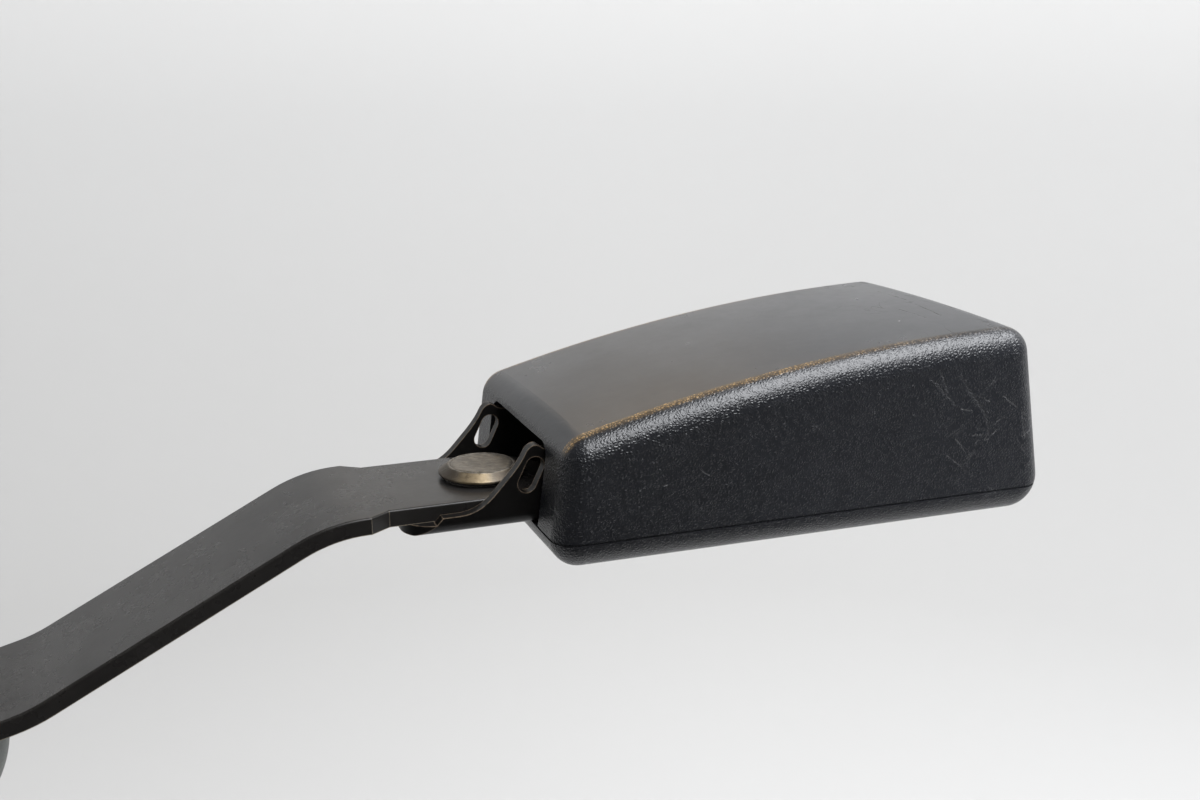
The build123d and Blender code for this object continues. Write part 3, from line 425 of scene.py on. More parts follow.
# Starts and ends of the strokes on the near flank by the mouth: along and up from the strap's top
# at the rivet, width, and how light the stroke is, all in millimetres but the last
FLANK_STROKES = [
    ((76.5, 18.6), (82.3, 13.0), 0.50, 0.1), ((83.0, 18.1), (89.1, 10.4), 0.55, 0.1),
    ((89.1, 10.4), (90.6, 5.4), 0.35, 0.2), ((78.6, 19.6), (80.6, 15.6), 0.30, 0.3),
    ((81.4, 3.2), (93.0, -5.6), 0.24, 0.8), ((92.8, 13.4), (97.3, 10.2), 0.26, 0.7),
    ((97.3, 10.2), (98.7, 4.9), 0.28, 0.8), ((95.4, 6.9), (98.6, 2.2), 0.22, 0.7),
    ((86.1, 6.6), (91.5, 6.1), 0.20, 0.9), ((83.7, 11.9), (86.1, 11.3), 0.22, 1.0),
    ((77.5, 11.7), (79.2, 11.2), 0.22, 1.0), ((86.5, 14.5), (89.9, 12.9), 0.22, 0.7),
    ((89.9, 8.0), (93.4, 9.4), 0.20, 0.7), ((82.9, 6.2), (85.5, 3.6), 0.18, 0.7),
    ((20.2, 3.8), (25.3, 4.3), 0.18, 0.4), ((31.3, 6.1), (33.6, 4.8), 0.18, 0.4)]
# The same on the top by the mouth, along the buckle and across it
TOP_STROKES = [
    ((91.1, 12.4), (91.2, 2.3), 0.30, 0.7), ((93.4, 5.8), (96.4, -0.6), 0.24, 0.9),
    ((90.3, -2.7), (89.2, -12.9), 0.30, 0.6), ((95.6, -0.1), (94.5, -11.9), 0.26, 0.8),
    ((95.4, -6.5), (95.9, -18.0), 0.30, 0.7), ((85.3, -4.9), (85.8, -12.9), 0.24, 0.5),
    ((91.6, -16.0), (95.2, -21.1), 0.22, 0.8), ((97.1, -13.1), (96.2, -23.1), 0.26, 0.9)]


def on_near_flank(along, up):
    """Point of the housing's near flank, from its place beside the rivet in millimetres."""
    flare = (along * MM - (HOUSING_HIGH.x - STRAP_TOP.x)) * FLANK_FLARE
    return Vector((STRAP_TOP.x + along * MM, HOUSING_LOW.y - flare, STRAP_TOP.z + up * MM))


def on_top(along, across):
    """Point of the housing's top by the mouth, from its place beside the rivet in millimetres."""
    fall = across ** 2 / (2 * CROWN_RADIUS) + (along - ARCH_TOP) ** 2 / (2 * ARCH_RADIUS)
    return Vector((STRAP_TOP.x + along * MM, across * MM, HOUSING_HIGH.z - fall * MM))


def lip_wear_and_glint_mask(tree, sideways, upward, along, pebbles):
    """Mask of the worn line along the edges of the top, partly real wear and partly a painted gold glint,
    which fades towards the mouth.
    """
    start, end = remapped(tree, sideways, 0.03, 0.08), remapped(tree, sideways, 0.46, 0.24)
    fading = remapped(tree, along, HOUSING_HIGH.x - LIP_FADED, HOUSING_LOW.x + LIP_FULL, 0.12, 1.0)
    sparkle = remapped(tree, pebbles, 0.40, 0.85, 0.15, 1.0)
    return product(tree, start, end, upward, fading, sparkle)


def mouth_scuffs(tree, place, along):
    """Masks of the scuffs by the mouth: where they are, and where they are light."""
    near_mouth = remapped(tree, along, HOUSING_HIGH.x - SCUFF_REACH, HOUSING_HIGH.x - SCUFF_FULL)
    slanted = stretched(tree, place, (1.0, 1.0, 3.0), (0.2, 0.6, 0.1))
    lines = use(tree, "hairlines", Place=slanted, Lines=170.0, Width=0.022)["Mask"]
    scuff = product(tree, lines, near_mouth)
    light = product(tree, scuff, 0.8)
    strokes = [(on_near_flank, *stroke) for stroke in FLANK_STROKES]
    strokes += [(on_top, *stroke) for stroke in TOP_STROKES]
    for surface, start, end, width, pale in strokes:
        ends = {"Start": surface(*start), "End": surface(*end)}
        line = use(tree, "stroke", Place=place, Width=width * MM, **ends)["Mask"]
        scuff = maths(tree, "MAXIMUM", scuff, line)
        light = maths(tree, "MAXIMUM", light, product(tree, line, pale))
    return scuff, light


def housing_plastic(finish):
    """Black moulded covers: smooth top, grained flanks, a worn upper edge with a painted gold glint, a
    painted sheen towards the mouth and scuffs at the mouth.
    """
    material, tree, place = new_finish("housing_plastic")
    facing = add(tree, "ShaderNodeTexCoord").outputs["Normal"]
    sideways = maths(tree, "ABSOLUTE", axis_of(tree, facing, "Y"))
    rising = axis_of(tree, facing, "Z")
    upward = remapped(tree, rising, 0.3, 0.6)
    along = axis_of(tree, place, "X")
    leaning = remapped(tree, sideways, 0.05, 0.30)
    flank = maths(tree, "MAXIMUM", leaning, maths(tree, "SUBTRACT", 1.0, upward))
    pebbles = use(tree, "moulded_grain", Place=place, Cells=1.0 / finish.grain_size)["Height"]
    lip_wear_and_glint = lip_wear_and_glint_mask(tree, sideways, upward, along, pebbles)
    scuff, light = mouth_scuffs(tree, place, along)
    dust = use(tree, "settled_dust", Place=place, Amount=finish.dust)["Mask"]
    specks = use(tree, "specks", Place=place, Spread=85.0, Size=0.02, Rarity=0.72)["Mask"]
    shade = use(tree, "mottle", Place=place, Scale=32.0, Low=0.75, High=1.3)["Value"]
    # Painted sheen: the covers' colour made lighter and bluer towards the mouth
    sheen_towards_mouth = remapped(tree, along, HOUSING_LOW.x, HOUSING_HIGH.x, 0.0, 0.4)
    base = mixed_colour(tree, sheen_towards_mouth, scaled(tree, tuple(finish.plastic), shade), MOUTH_SHEEN_GREY)
    # Worn lip with a painted gold glint: brown metallic tint on the band where the top rolls over into the
    # flank
    base = overlaid(tree, base, lip_wear_and_glint, 0.9, LIP_WEAR_AND_GLINT_BROWN)
    base = overlaid(tree, base, light, 0.32, SCUFF_GREY)
    base = overlaid(tree, base, dust, 0.12, DUST)
    base = overlaid(tree, base, specks, 0.7, HOUSING_SPECKS)
    gloss = use(tree, "mottle", Place=place, Scale=55.0, Low=0.26, High=0.33)["Value"]
    roughness = mixed_value(tree, flank, gloss, maths(tree, "ADD", gloss, 0.03))
    roughness = mixed_value(tree, lip_wear_and_glint, roughness, 0.30)
    roughness = mixed_value(tree, scuff, roughness, 0.6)
    grained = mixed_value(tree, flank, 0.05, 1.0)
    softened = remapped(tree, rising, 0.2, 0.7, 1.0, 0.55)
    height = maths(tree, "SUBTRACT", product(tree, pebbles, grained, softened), product(tree, scuff, 0.7))
    finished(tree, base, roughness, height, finish.grain_depth, product(tree, lip_wear_and_glint, 0.6),
             Specular_IOR_Level=0.52)
    return material


def painted_steel(name, finish, edge, spread, gloss, shine, amount=1.0, depth=1.0):
    """Black painted steel whose edges are worn to a colour."""
    material, tree, place = new_finish(name)
    worn = use(tree, "edge_wear", Place=place, Radius=spread, Amount=finish.wear * amount)["Mask"]
    dust = use(tree, "settled_dust", Place=place, Amount=finish.dust)["Mask"]
    brushed = stretched(tree, place, (0.35, 1.6, 1.0), (0, 0, 0.35))
    scratches = use(tree, "hairlines", Place=brushed, Lines=420.0, Width=0.006)["Mask"]
    shade = use(tree, "mottle", Place=place, Scale=45.0, Low=0.8 * depth, High=1.3 * depth)["Value"]
    plain = scaled(tree, tuple(finish.paint), shade)
    base = overlaid(tree, plain, scratches, 0.035, edge)
    base = mixed_colour(tree, worn, base, edge)
    base = overlaid(tree, base, dust, 0.10, DUST)
    satin = use(tree, "mottle", Place=place, Scale=70.0, Low=gloss[0], High=gloss[1])["Value"]
    roughness = mixed_value(tree, worn, satin, 0.42)
    specks = use(tree, "specks", Place=place, Spread=140.0, Size=0.03, Rarity=0.8)["Mask"]
    base = overlaid(tree, base, specks, 0.35, STEEL_SPECKS)
    peel = cloudy(tree, place, 1400.0, 2.0)
    pits = cloudy(tree, place, 5200.0, 2.0)
    height = maths(tree, "ADD", peel, product(tree, pits, 0.35))
    height = maths(tree, "SUBTRACT", height, product(tree, worn, 0.4))
    metallic = product(tree, worn, 0.7)
    finished(tree, base, roughness, height, 0.000008, metallic, Specular_IOR_Level=shine)
    return material


def bright_steel(name, tint, gloss, lines=(1.0, 1.0, 14.0)):
    """Plated or drawn steel with fine lines along its length."""
    material, tree, place = new_finish(name)
    drawn = cloudy(tree, stretched(tree, place, lines), 700.0, 3.0, 0.6)
    stain = use(tree, "mottle", Place=place, Scale=160.0, Low=0.55, High=1.1)["Value"]
    base = scaled(tree, tuple(tint), stain)
    roughness = use(tree, "mottle", Place=place, Scale=240.0, Low=gloss, High=gloss + 0.18)["Value"]
    worn = use(tree, "edge_wear", Place=place, Radius=0.00025, Amount=0.7)["Mask"]
    base = overlaid(tree, base, worn, 0.5, RUBBED_STEEL)
    finished(tree, base, roughness, drawn, 0.000006, 0.95)
    return material


def rivet_zinc(finish):
    """Dull zinc rivet: streaked flat top, brown-gold stain on the cone with a painted highlight where it
    faces the camera and painted shade on the rest of it, grime in patches.
    """
    material, tree, place = new_finish("rivet_zinc")
    local = vector_maths(tree, "SUBTRACT", place, tuple(STRAP_TOP))
    flat = vector_maths(tree, "MULTIPLY", local, (1.0, 1.0, 0.0))
    out = vector_maths(tree, "LENGTH", flat, output="Value")
    cone = remapped(tree, out, 6.1 * MM, 6.4 * MM)
    rim_inside, rim_outside = remapped(tree, out, 5.5 * MM, 5.7 * MM), remapped(tree, out, 6.0 * MM, 5.8 * MM)
    rim_line = product(tree, rim_inside, rim_outside)
    patch = remapped(tree, cloudy(tree, place, 260.0, 4.0, 0.6, 0.8), 0.36, 0.62)
    outward = vector_maths(tree, "NORMALIZE", flat)
    # Painted highlight: the side of the cone that faces the camera is made gold
    towards = vector_maths(tree, "DOT_PRODUCT", outward, (-0.45, -0.89, 0.0), "Value")
    camera_facing_glint = remapped(tree, towards, 0.80, 1.0)
    stain_and_glint_share = maths(tree, "MAXIMUM", product(tree, patch, 0.5), camera_facing_glint)
    stain = product(tree, cone, stain_and_glint_share)
    streak = cloudy(tree, stretched(tree, place, (1.0, 3.2, 1.0), (0, 0, 0.5)), 520.0, 5.0, 0.7, 0.4)
    grime = remapped(tree, cloudy(tree, place, 900.0, 5.0, 0.7), 0.50, 0.68)
    shade = remapped(tree, streak, 0.3, 0.7, 0.38, 1.25)
    base = scaled(tree, tuple(finish.rivet), shade)
    base = overlaid(tree, base, stain, 0.85, tuple(finish.rivet_stain))
    # Painted shade: the rest of the cone is darkened
    shaded = product(tree, cone, maths(tree, "SUBTRACT", 0.85, camera_facing_glint, True))
    base = mixed_colour(tree, shaded, base, RIVET_SHADE)
    base = overlaid(tree, base, grime, 0.55, RIVET_GRIME)
    base = overlaid(tree, base, rim_line, 0.6, RIVET_RING)
    roughness = mixed_value(tree, stain, remapped(tree, streak, 0.3, 0.7, 0.45, 0.62), 0.45)
    finished(tree, base, roughness, streak, 0.00005, 0.8)
    return material


def phosphated(name, tint, gloss=0.55):
    """Matt phosphated steel with fine crystals and worn edges."""
    material, tree, place = new_finish(name)
    crystals = cloudy(tree, place, 4200.0, 3.0, 0.7)
    shade = use(tree, "mottle", Place=place, Scale=90.0, Low=0.7, High=1.35)["Value"]
    base = scaled(tree, tuple(tint), shade)
    worn = use(tree, "edge_wear", Place=place, Radius=0.0004, Amount=0.75)["Mask"]
    base = overlaid(tree, base, worn, 0.7, RUBBED_PHOSPHATE)
    roughness = mixed_value(tree, worn, remapped(tree, crystals, 0.3, 0.7, gloss - 0.08, gloss + 0.1), 0.38)
    metallic = maths(tree, "ADD", product(tree, worn, 0.5), 0.35)
    finished(tree, base, roughness, crystals, 0.00001, metallic)
    return material


def plain_plastic(name, tint, gloss, grain_share):
    """Moulded plastic with a light grain, flow marks and slightly worn edges."""
    material, tree, place = new_finish(name)
    pebbles = use(tree, "moulded_grain", Place=place, Cells=2600.0)["Height"]
    shade = use(tree, "mottle", Place=place, Scale=60.0, Low=0.88, High=1.1)["Value"]
    base = scaled(tree, tuple(tint), shade)
    worn = use(tree, "edge_wear", Place=place, Radius=0.0003, Amount=0.55)["Mask"]
    lighter = tuple(min(1.0, part * 1.4 + 0.03) for part in tint)
    base = overlaid(tree, base, worn, 0.35, lighter)
    roughness = use(tree, "mottle", Place=place, Scale=110.0, Low=gloss - 0.05, High=gloss + 0.07)["Value"]
    finished(tree, base, roughness, product(tree, pebbles, grain_share), 0.00003)
    return material


def pale_backdrop(studio):
    """Pale seamless paper, very slightly uneven, with painted falloff of light: darker to the left and
    towards the floor.
    """
    material, tree, place = new_finish("pale_backdrop")
    # Painted falloff of light across the paper and down towards the floor
    across = remapped(tree, axis_of(tree, place, "X"), -0.9, 0.8, 0.81, 1.0)
    upward = remapped(tree, axis_of(tree, place, "Z"), -studio.floor_drop, 0.5, 0.69, 1.0)
    uneven = remapped(tree, cloudy(tree, place, 1.3, 2.0), 0.2, 0.8, 0.98, 1.0)
    shade = product(tree, across, upward, uneven)
    base = scaled(tree, tuple(studio.bowl_colour), shade)
    finished(tree, base, 0.9, cloudy(tree, place, 60.0, 2.0), 0.0001, Specular_IOR_Level=0.0)
    return material


def dress(material, *nodes):
    """Give CAD nodes a finish."""
    for name in nodes:
        piece = frame["nodes"][name]
        if not piece.material_slots:
            piece.data.materials.append(material)
        for slot in piece.material_slots:
            slot.material = material


# Meshes

def lathe(rings, segments=96):
    """Closed mesh from rings, each a radius and a height, or functions of the angle that give them."""
    form = bmesh.new()
    made = []
    for radius, height in rings:
        ring = []
        for step in range(segments):
            turn = 2 * math.pi * step / segments
            far = radius(turn) if callable(radius) else radius
            up = height(turn) if callable(height) else height
            ring.append(form.verts.new((far * math.cos(turn), far * math.sin(turn), up)))
        made.append(ring)
    for lower, upper in zip(made, made[1:]):
        for step in range(segments):
            after = (step + 1) % segments
            form.faces.new((lower[step], lower[after], upper[after], upper[step]))
    for ring in (made[0], made[-1]):
        form.faces.new(ring)
    bmesh.ops.triangulate(form, faces=[face for face in form.faces if len(face.verts) > 4])
    bmesh.ops.recalc_face_normals(form, faces=form.faces)
    mesh = bpy.data.meshes.new("lathe")
    form.to_mesh(mesh)
    form.free()
    return mesh


# The rivet's section in millimetres, each point a radius and a height over the strap's top
RIVET_SECTION = [
    (0.3, 2.49), (1.4, 2.50), (2.4, 2.49), (3.4, 2.50), (4.3, 2.49), (5.0, 2.48), (5.5, 2.46),
    (5.65, 2.37), (5.80, 2.36), (5.95, 2.46), (6.15, 2.46), (6.30, 2.36), (6.60, 2.16), (7.0, 1.89),
    (7.4, 1.62), (7.75, 1.38), (7.92, 1.24), (7.97, 1.10), (7.96, 0.92), (7.85, 0.82), (7.6, 0.80),
    (4.0, 0.80), (4.0, -5.0), (4.76, -5.0), (4.76, -5.5), (3.6, -6.68), (0.3, -6.68)]


def rivet_mesh():
    """Rivet with a worn, slightly uneven head; its top carries the fine ring that setting leaves."""
    dent_depth, worn_depth, nick_depth = 0.05, 0.10, 0.05
    rings = []
    for radius, height in RIVET_SECTION:
        on_top_face = height > 2.0
        on_cone = 6.0 < radius < 8.0 and height > 0.9

        def dented(turn, radius=radius, height=height, uneven=on_top_face):
            place = Vector((radius * math.cos(turn), radius * math.sin(turn), height))
            bump = noise.noise(place * 0.9) * 0.6 + noise.noise(place * 2.3) * 0.4
            return (height + (dent_depth * bump if uneven else 0.0)) * MM

        def worn(turn, radius=radius, height=height, uneven=on_cone):
            place = Vector((math.cos(turn) * 4, math.sin(turn) * 4, height))
            loss = max(0.0, noise.noise(place)) * worn_depth
            loss += max(0.0, noise.noise(place * 3.1)) * nick_depth
            return (radius - (loss if uneven else 0.0)) * MM

        rings.append((worn, dented))
    mesh = lathe(rings)
    mesh.transform(Matrix.Translation(STRAP_TOP))
    return mesh


def bolt_mesh(bolt):
    """Flanged hexagon head, shank and the core under the thread, along the bolt's own axis."""
    half, axle, sixth = bolt.across_flats / 2, 0.2 * MM, math.pi / 3
    under, top = bolt.head_height, bolt.head_height + bolt.flange + bolt.hexagon
    step, rim, dish = under + bolt.flange, bolt.flange_radius, 0.12 * MM

    def flats(turn):
        return half / math.cos((turn + sixth / 2) % sixth - sixth / 2)

    def rounded(turn):
        return min(flats(turn), half * 1.07)

    core = [
        (axle, -bolt.reach), (bolt.root - 0.9 * MM, -bolt.reach), (bolt.root, -bolt.reach + 1.0 * MM),
        (bolt.root, -0.1 * MM), (bolt.root + 0.6 * MM, 0.3 * MM), (bolt.shank, 1.5 * MM), (bolt.shank, under)]
    flange = [
        (rim - 0.15 * MM, under), (rim, under + 0.2 * MM), (rim, under + 0.7 * MM),
        (rim - 0.3 * MM, under + 0.9 * MM), (half + 1.1 * MM, step - 0.1 * MM)]
    head = [
        (flats, step), (flats, top - 0.8 * MM), (rounded, top - 0.35 * MM), (half * 0.93, top),
        (half * 0.84, top - dish), (axle, top - dish)]
    mesh = lathe(core + flange + head, 120)
    mesh.transform(BOLT_FRAME)
    return mesh


def winding_nodes():
    """Geometry Nodes tree of a wire or thread wound round Z, with closed turns at its ends where asked."""
    group = bpy.data.node_groups.new("winding", "GeometryNodeTree")
    for key in ("Radius", "Length", "Turns", "Wire"):
        group.interface.new_socket(name=key, in_out="INPUT", socket_type="NodeSocketFloat")
    group.interface.new_socket(name="Sides", in_out="INPUT", socket_type="NodeSocketInt")
    group.interface.new_socket(name="Closed Ends", in_out="INPUT", socket_type="NodeSocketBool")
    group.interface.new_socket(name="Material", in_out="INPUT", socket_type="NodeSocketMaterial")
    group.interface.new_socket(name="Geometry", in_out="OUTPUT", socket_type="NodeSocketGeometry")
    given, out = group.nodes.new("NodeGroupInput").outputs, group.nodes.new("NodeGroupOutput").inputs
    spiral = add(group, "GeometryNodeCurveSpiral", {
        "Resolution": 32, "Rotations": given["Turns"], "Start Radius": given["Radius"],
        "End Radius": given["Radius"], "Height": given["Length"]}).outputs[0]
    ring = add(group, "GeometryNodeCurvePrimitiveCircle", {
        "Resolution": 32, "Radius": given["Radius"]}).outputs[0]
    raised = add(group, "ShaderNodeCombineXYZ", {"Z": given["Length"]}).outputs[0]
    top_ring = add(group, "GeometryNodeTransform", {"Geometry": ring, "Translation": raised}).outputs[0]
    rings = add(group, "GeometryNodeJoinGeometry", {"Geometry": ring})
    group.links.new(top_ring, rings.inputs["Geometry"])
    ends = add(group, "GeometryNodeSwitch", {"Switch": given["Closed Ends"], "True": rings.outputs[0]},
               input_type="GEOMETRY").outputs[0]
    line = add(group, "GeometryNodeJoinGeometry", {"Geometry": spiral})
    group.links.new(ends, line.inputs["Geometry"])
    upright = add(group, "GeometryNodeSetCurveNormal", {"Curve": line.outputs[0]}, mode="Z_UP").outputs[0]
    section = add(group, "GeometryNodeCurvePrimitiveCircle", {
        "Resolution": given["Sides"], "Radius": given["Wire"]}).outputs[0]
    solid = add(group, "GeometryNodeCurveToMesh", {
        "Curve": upright, "Profile Curve": section, "Fill Caps": True}).outputs[0]
    real = add(group, "GeometryNodeRealizeInstances", {"Geometry": solid}).outputs[0]
    dressed = add(group, "GeometryNodeSetMaterial", {
        "Geometry": real, "Material": given["Material"]}).outputs[0]
    group.links.new(dressed, out["Geometry"])
    return group


def winding(material, **values):
    """Plain mesh that the winding tree makes from these inputs."""
    group = bpy.data.node_groups.get("winding") or winding_nodes()
    maker = bpy.data.objects.new("winding_maker", bpy.data.meshes.new("winding_maker"))
    bpy.context.scene.collection.objects.link(maker)
    modifier = maker.modifiers.new("Winding", "NODES")
    modifier.node_group = group
    values["Material"] = material
    for item in group.interface.items_tree:
        if item.in_out == "INPUT":
            modifier[item.identifier] = values[item.name.replace(" ", "_")]
    graph = bpy.context.evaluated_depsgraph_get()
    mesh = bpy.data.meshes.new_from_object(maker.evaluated_get(graph))
    bpy.data.objects.remove(maker)
    return mesh


def new_piece(name, mesh, material, body, slot, *stands_for):
    """Object at the origin that rides on a body and stands for CAD nodes."""
    mesh.materials.clear()
    mesh.materials.append(material)
    mesh.shade_smooth()
    mesh.set_sharp_from_angle(angle=math.radians(35))
    piece = bpy.data.objects.new(name, mesh)
    bpy.context.scene.collection.objects.link(piece)
    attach(piece, body)
    if stands_for:
        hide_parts(*stands_for)
    return piece


def coil_piece(name, axis, wire, turns, material):
    """Coil spring with closed ends in the place of its CAD node, along one of the row's axes."""
    low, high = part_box(name)
    size = high - low
    along = "XYZ".index(axis)
    radius = min(part for k, part in enumerate(size) if k != along) / 2
    mesh = winding(material, Radius=radius - wire / 2, Length=size[along] - wire, Turns=turns,
                   Wire=wire / 2, Sides=10, Closed_Ends=True)
    mesh.transform(Matrix.Translation((0, 0, wire / 2)))
    if axis == "X":
        mesh.transform(Matrix.Rotation(math.pi / 2, 4, "Y"))
    start = (low + high) / 2
    start[along] = low[along]
    mesh.transform(Matrix.Translation(start))
    return new_piece(name + "_coil", mesh, material, "stalk", "spring_steel", name)


# Operators

class BuckleOperator:
    """What the operators share."""
    bl_options = {"REGISTER", "UNDO"}

    @property
    def finish(self):
        """The colours and grain that the user set."""
        return bpy.context.scene.buckle_finish


class BUCKLE_OT_housing(BuckleOperator, bpy.types.Operator):
    """Dress both covers and the tongue guide"""
    bl_idname = "buckle.housing"
    bl_label = "Dress Housing"

    def execute(self, context):
        dress(housing_plastic(self.finish), "upper_cover", "lower_cover")
        dress(plain_plastic("guide_plastic", self.finish.plastic, 0.45, 0.5), "tongue_guide")
        return {"FINISHED"}


class BUCKLE_OT_button(BuckleOperator, bpy.types.Operator):
    """Dress the push button, its slider and the ejector"""
    bl_idname = "buckle.button"
    bl_label = "Dress Button"

    def execute(self, context):
        dress(plain_plastic("button_plastic", self.finish.button, 0.34, 0.25), "release_button")
        acetal = plain_plastic("slider_plastic", self.finish.acetal, 0.38, 0.15)
        dress(acetal, "button_slider", "ejector_slide")
        return {"FINISHED"}


class BUCKLE_OT_strap(BuckleOperator, bpy.types.Operator):
    """Dress the anchor strap and the steel frame"""
    bl_idname = "buckle.strap"
    bl_label = "Dress Strap and Frame"

    def execute(self, context):
        strap = painted_steel("strap_paint", self.finish, tuple(self.finish.bare_steel), 0.28 * MM,
                              gloss=(0.24, 0.32), shine=0.22)
        dress(strap, "anchor_strap")
        steel = painted_steel("frame_paint", self.finish, tuple(self.finish.brown_edge), 0.30 * MM,
                              gloss=(0.30, 0.42), shine=0.15, amount=0.9, depth=0.35)
        dress(steel, "buckle_frame")
        return {"FINISHED"}


class BUCKLE_OT_latch(BuckleOperator, bpy.types.Operator):
    """Dress the latch, its pin, the lock bar and the springs"""
    bl_idname = "buckle.latch"
    bl_label = "Dress Latch Works"

    def execute(self, context):
        dress(bright_steel("latch_steel", (0.52, 0.50, 0.46), 0.36, lines=(10.0, 1.0, 1.0)), "latch_plate")
        pin = bright_steel("pin_steel", (0.60, 0.60, 0.61), 0.24, lines=(1.0, 12.0, 1.0))
        dress(pin, "latch_pivot_pin", "lock_bar")
        wire = bright_steel("spring_steel", (0.50, 0.50, 0.52), 0.26)
        dress(wire, "spring_washer")
        for name in ("button_spring_near", "button_spring_far"):
            coil = coil_piece(name, "X", 0.6 * MM, 8, wire)
            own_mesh(coil)
        coil = coil_piece("ejector_spring", "X", 0.7 * MM, 11, wire)
        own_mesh(coil)
        coil = coil_piece("latch_spring", "Z", 0.6 * MM, 5, wire)
        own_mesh(coil)
        return {"FINISHED"}


class BUCKLE_OT_rivet(BuckleOperator, bpy.types.Operator):
    """Dress the strap rivet and its washer"""
    bl_idname = "buckle.rivet"
    bl_label = "Make Rivet"

    def execute(self, context):
        zinc = rivet_zinc(self.finish)
        new_piece("strap_rivet_worn", rivet_mesh(), zinc, "stalk", "rivet_steel", "strap_rivet")
        dress(phosphated("washer_steel", (0.035, 0.031, 0.027)), "rivet_washer")
        return {"FINISHED"}


class BUCKLE_OT_anchor(BuckleOperator, bpy.types.Operator):
    """Dress the spacer, the anchor bolt and its retainer"""
    bl_idname = "buckle.anchor"
    bl_label = "Make Anchor"

    def execute(self, context):
        dress(phosphated("spacer_steel", self.finish.spacer, 0.42), "spacer_bush")
        bolt, steel = context.scene.buckle_bolt, phosphated("bolt_steel", (0.05, 0.05, 0.052), 0.45)
        new_piece("anchor_bolt_body", bolt_mesh(bolt), steel, "anchor", "bolt_steel", "anchor_bolt")
        bare_end = 0.7 * MM
        threaded = bolt.reach - 2 * bare_end
        thread = winding(steel, Radius=bolt.root, Length=threaded, Turns=threaded / bolt.pitch,
                         Wire=bolt.crest - bolt.root, Sides=4, Closed_Ends=False)
        thread.transform(BOLT_FRAME @ Matrix.Translation((0, 0, -bare_end - threaded)))
        new_piece("anchor_bolt_thread", thread, steel, "anchor", "bolt_steel")
        dress(plain_plastic("retainer_plastic", (0.66, 0.65, 0.60), 0.5, 0.2), "bolt_retainer")
        return {"FINISHED"}


def bowl_mesh(studio, back):
    """Floor that curves up to a wall all round, its back or its front share."""
    segments, flat_steps, bend_steps = 96, 10, 14
    hub_radius, bend = 0.02, 0.45
    floor, flat = -studio.floor_drop, studio.bowl_radius - bend - hub_radius
    profile = [(hub_radius + flat * k / flat_steps, floor) for k in range(flat_steps + 1)]
    for k in range(1, bend_steps + 1):
        turn = math.pi / 2 * k / bend_steps
        profile.append((
            studio.bowl_radius - bend + bend * math.sin(turn), floor + bend - bend * math.cos(turn)))
    profile.append((studio.bowl_radius, floor + studio.bowl_height))
    form = bmesh.new()
    centre_x = BUCKLE_MIDDLE.x
    split_y, split_slope = -0.35, -0.55

    def wanted(corners):
        """Whether a face is past the slanted line that parts the two shares, or before it."""
        middle = sum((corner.co for corner in corners), Vector()) / len(corners)
        behind = middle.y > split_y + split_slope * min(0.0, middle.x - centre_x)
        return behind == back

    angles = [2 * math.pi * k / segments for k in range(segments)]
    rings = [
        [form.verts.new((centre_x + far * math.cos(turn), far * math.sin(turn), up)) for turn in angles]
        for far, up in profile]
    if back:
        form.faces.new(rings[0])
    for lower, upper in zip(rings, rings[1:]):
        for k in range(segments):
            after = (k + 1) % segments
            corners = (lower[k], lower[after], upper[after], upper[k])
            if wanted(corners):
                form.faces.new(corners)
    loose = [vert for vert in form.verts if not vert.link_faces]
    bmesh.ops.delete(form, geom=loose, context="VERTS")
    mesh = bpy.data.meshes.new("bowl")
    form.to_mesh(mesh)
    form.free()
    mesh.shade_smooth()
    return mesh


def area_light(name, offset, size, power, tint):
    """Rectangular light at an offset from the buckle's middle, which it points at."""
    data = bpy.data.lights.new(name, "AREA")
    data.shape = "RECTANGLE"
    data.size, data.size_y = size
    data.energy = power
    data.color = tint
    light = bpy.data.objects.new(name, data)
    light.location = BUCKLE_MIDDLE + offset
    light.rotation_mode = "QUATERNION"
    light.rotation_quaternion = (-offset).to_track_quat("-Z", "Y")
    bpy.context.scene.collection.objects.link(light)


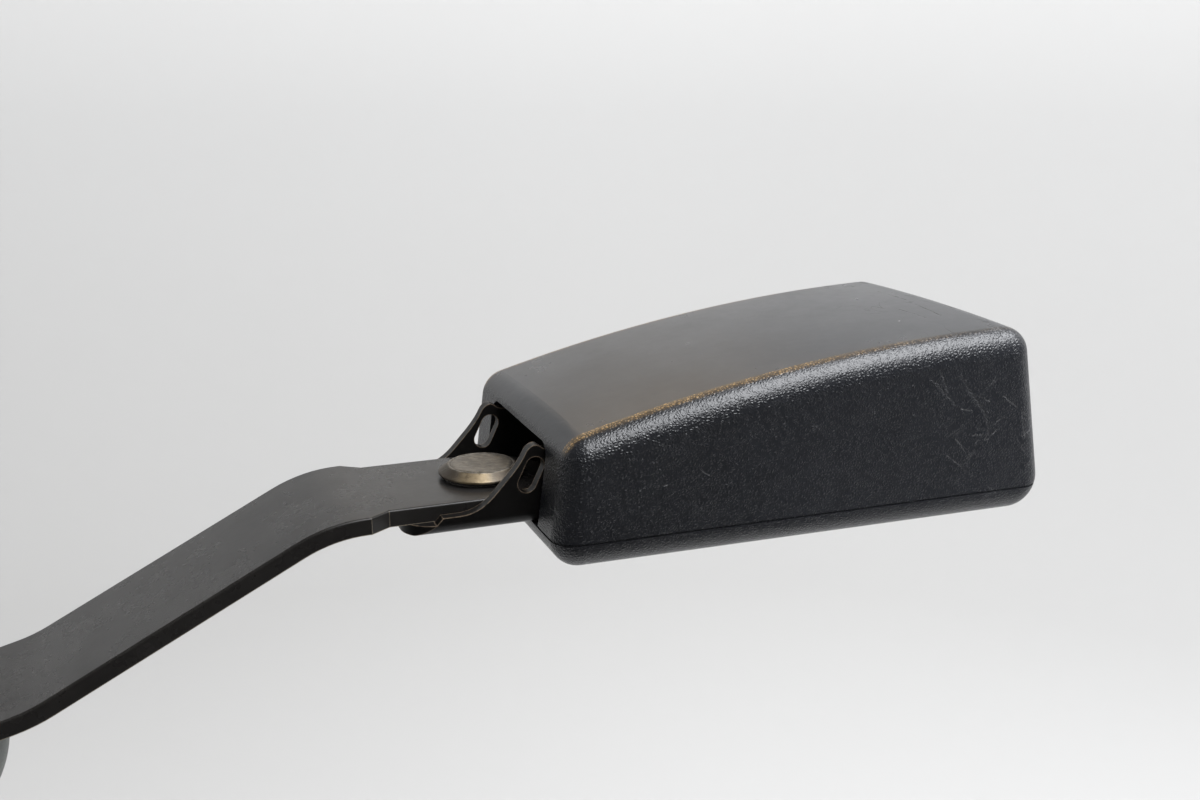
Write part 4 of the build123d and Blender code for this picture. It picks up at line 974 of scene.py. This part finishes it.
class BUCKLE_OT_stage(BuckleOperator, bpy.types.Operator):
    """Set the pale bowl, the soft lights, the room and the camera"""
    bl_idname = "buckle.stage"
    bl_label = "Set Stage"

    def execute(self, context):
        studio = context.scene.buckle_studio
        paper = pale_backdrop(studio)
        for name, back in (("backdrop_far", True), ("backdrop_near", False)):
            bowl = bpy.data.objects.new(name, bowl_mesh(studio, back))
            bowl.data.materials.append(paper)
            context.scene.collection.objects.link(bowl)
            bowl.visible_glossy = back
        overhead, behind = Vector((0.40, -0.32, studio.softbox_height)), Vector((0.25, 1.25, 0.95))
        area_light("softbox", overhead, (studio.softbox_width, studio.softbox_depth),
                   studio.softbox_power, studio.softbox_colour)
        area_light("warm_strip", behind, (0.5, 0.10), studio.lamp_power, studio.lamp_colour)
        world = bpy.data.worlds.new("room")
        world.use_nodes = True
        background = world.node_tree.nodes["Background"].inputs
        background["Color"].default_value = (1.0, 0.99, 0.98, 1.0)
        background["Strength"].default_value = studio.room_light
        world.cycles_visibility.glossy = False
        context.scene.world = world
        self.place_camera(context, studio)
        context.scene.view_settings.view_transform = "Standard"
        return {"FINISHED"}

    def place_camera(self, context, studio):
        """Camera where the photographer stood."""
        data = bpy.data.cameras.new("camera")
        data.lens = studio.camera_lens
        data.sensor_width = 36.0
        data.clip_start = 0.01
        camera = bpy.data.objects.new("camera", data)
        turn, rise = studio.camera_azimuth, studio.camera_elevation
        back = Vector((math.sin(turn) * math.cos(rise), -math.cos(turn) * math.cos(rise), math.sin(rise)))
        camera.rotation_mode = "QUATERNION"
        roll = Euler((0, 0, studio.camera_roll)).to_quaternion()
        camera.rotation_quaternion = (-back).to_track_quat("-Z", "Y") @ roll
        camera.location = STRAP_TOP + Vector((studio.camera_x, studio.camera_y, studio.camera_z))
        context.scene.collection.objects.link(camera)
        context.scene.camera = camera


class BUCKLE_PT_sidebar(bpy.types.Panel):
    """Panel with the buckle's operators and settings"""
    bl_idname = "BUCKLE_PT_sidebar"
    bl_label = "Belt Buckle"
    bl_space_type = "VIEW_3D"
    bl_region_type = "UI"
    bl_category = "Buckle"

    def draw(self, context):
        for operator in OPERATORS:
            self.layout.operator(operator.bl_idname)
        for group in (context.scene.buckle_finish, context.scene.buckle_bolt, context.scene.buckle_studio):
            box = self.layout.box()
            for key in group.__annotations__:
                box.prop(group, key)


OPERATORS = (
    BUCKLE_OT_stage, BUCKLE_OT_housing, BUCKLE_OT_button, BUCKLE_OT_strap, BUCKLE_OT_latch, BUCKLE_OT_rivet,
    BUCKLE_OT_anchor)
CLASSES = (BuckleStudio, BuckleBolt, BuckleFinish, *OPERATORS, BUCKLE_PT_sidebar)


def register():
    for item in CLASSES:
        bpy.utils.register_class(item)
    bpy.types.Scene.buckle_studio = PointerProperty(type=BuckleStudio)
    bpy.types.Scene.buckle_bolt = PointerProperty(type=BuckleBolt)
    bpy.types.Scene.buckle_finish = PointerProperty(type=BuckleFinish)


def unregister():
    del bpy.types.Scene.buckle_finish
    del bpy.types.Scene.buckle_bolt
    del bpy.types.Scene.buckle_studio
    for item in reversed(CLASSES):
        bpy.utils.unregister_class(item)


def main():
    """Register and run every operator."""
    register()
    bpy.ops.buckle.stage()
    bpy.ops.buckle.housing()
    bpy.ops.buckle.button()
    bpy.ops.buckle.strap()
    bpy.ops.buckle.latch()
    bpy.ops.buckle.rivet()
    bpy.ops.buckle.anchor()


if __name__ == "__main__":
    main()
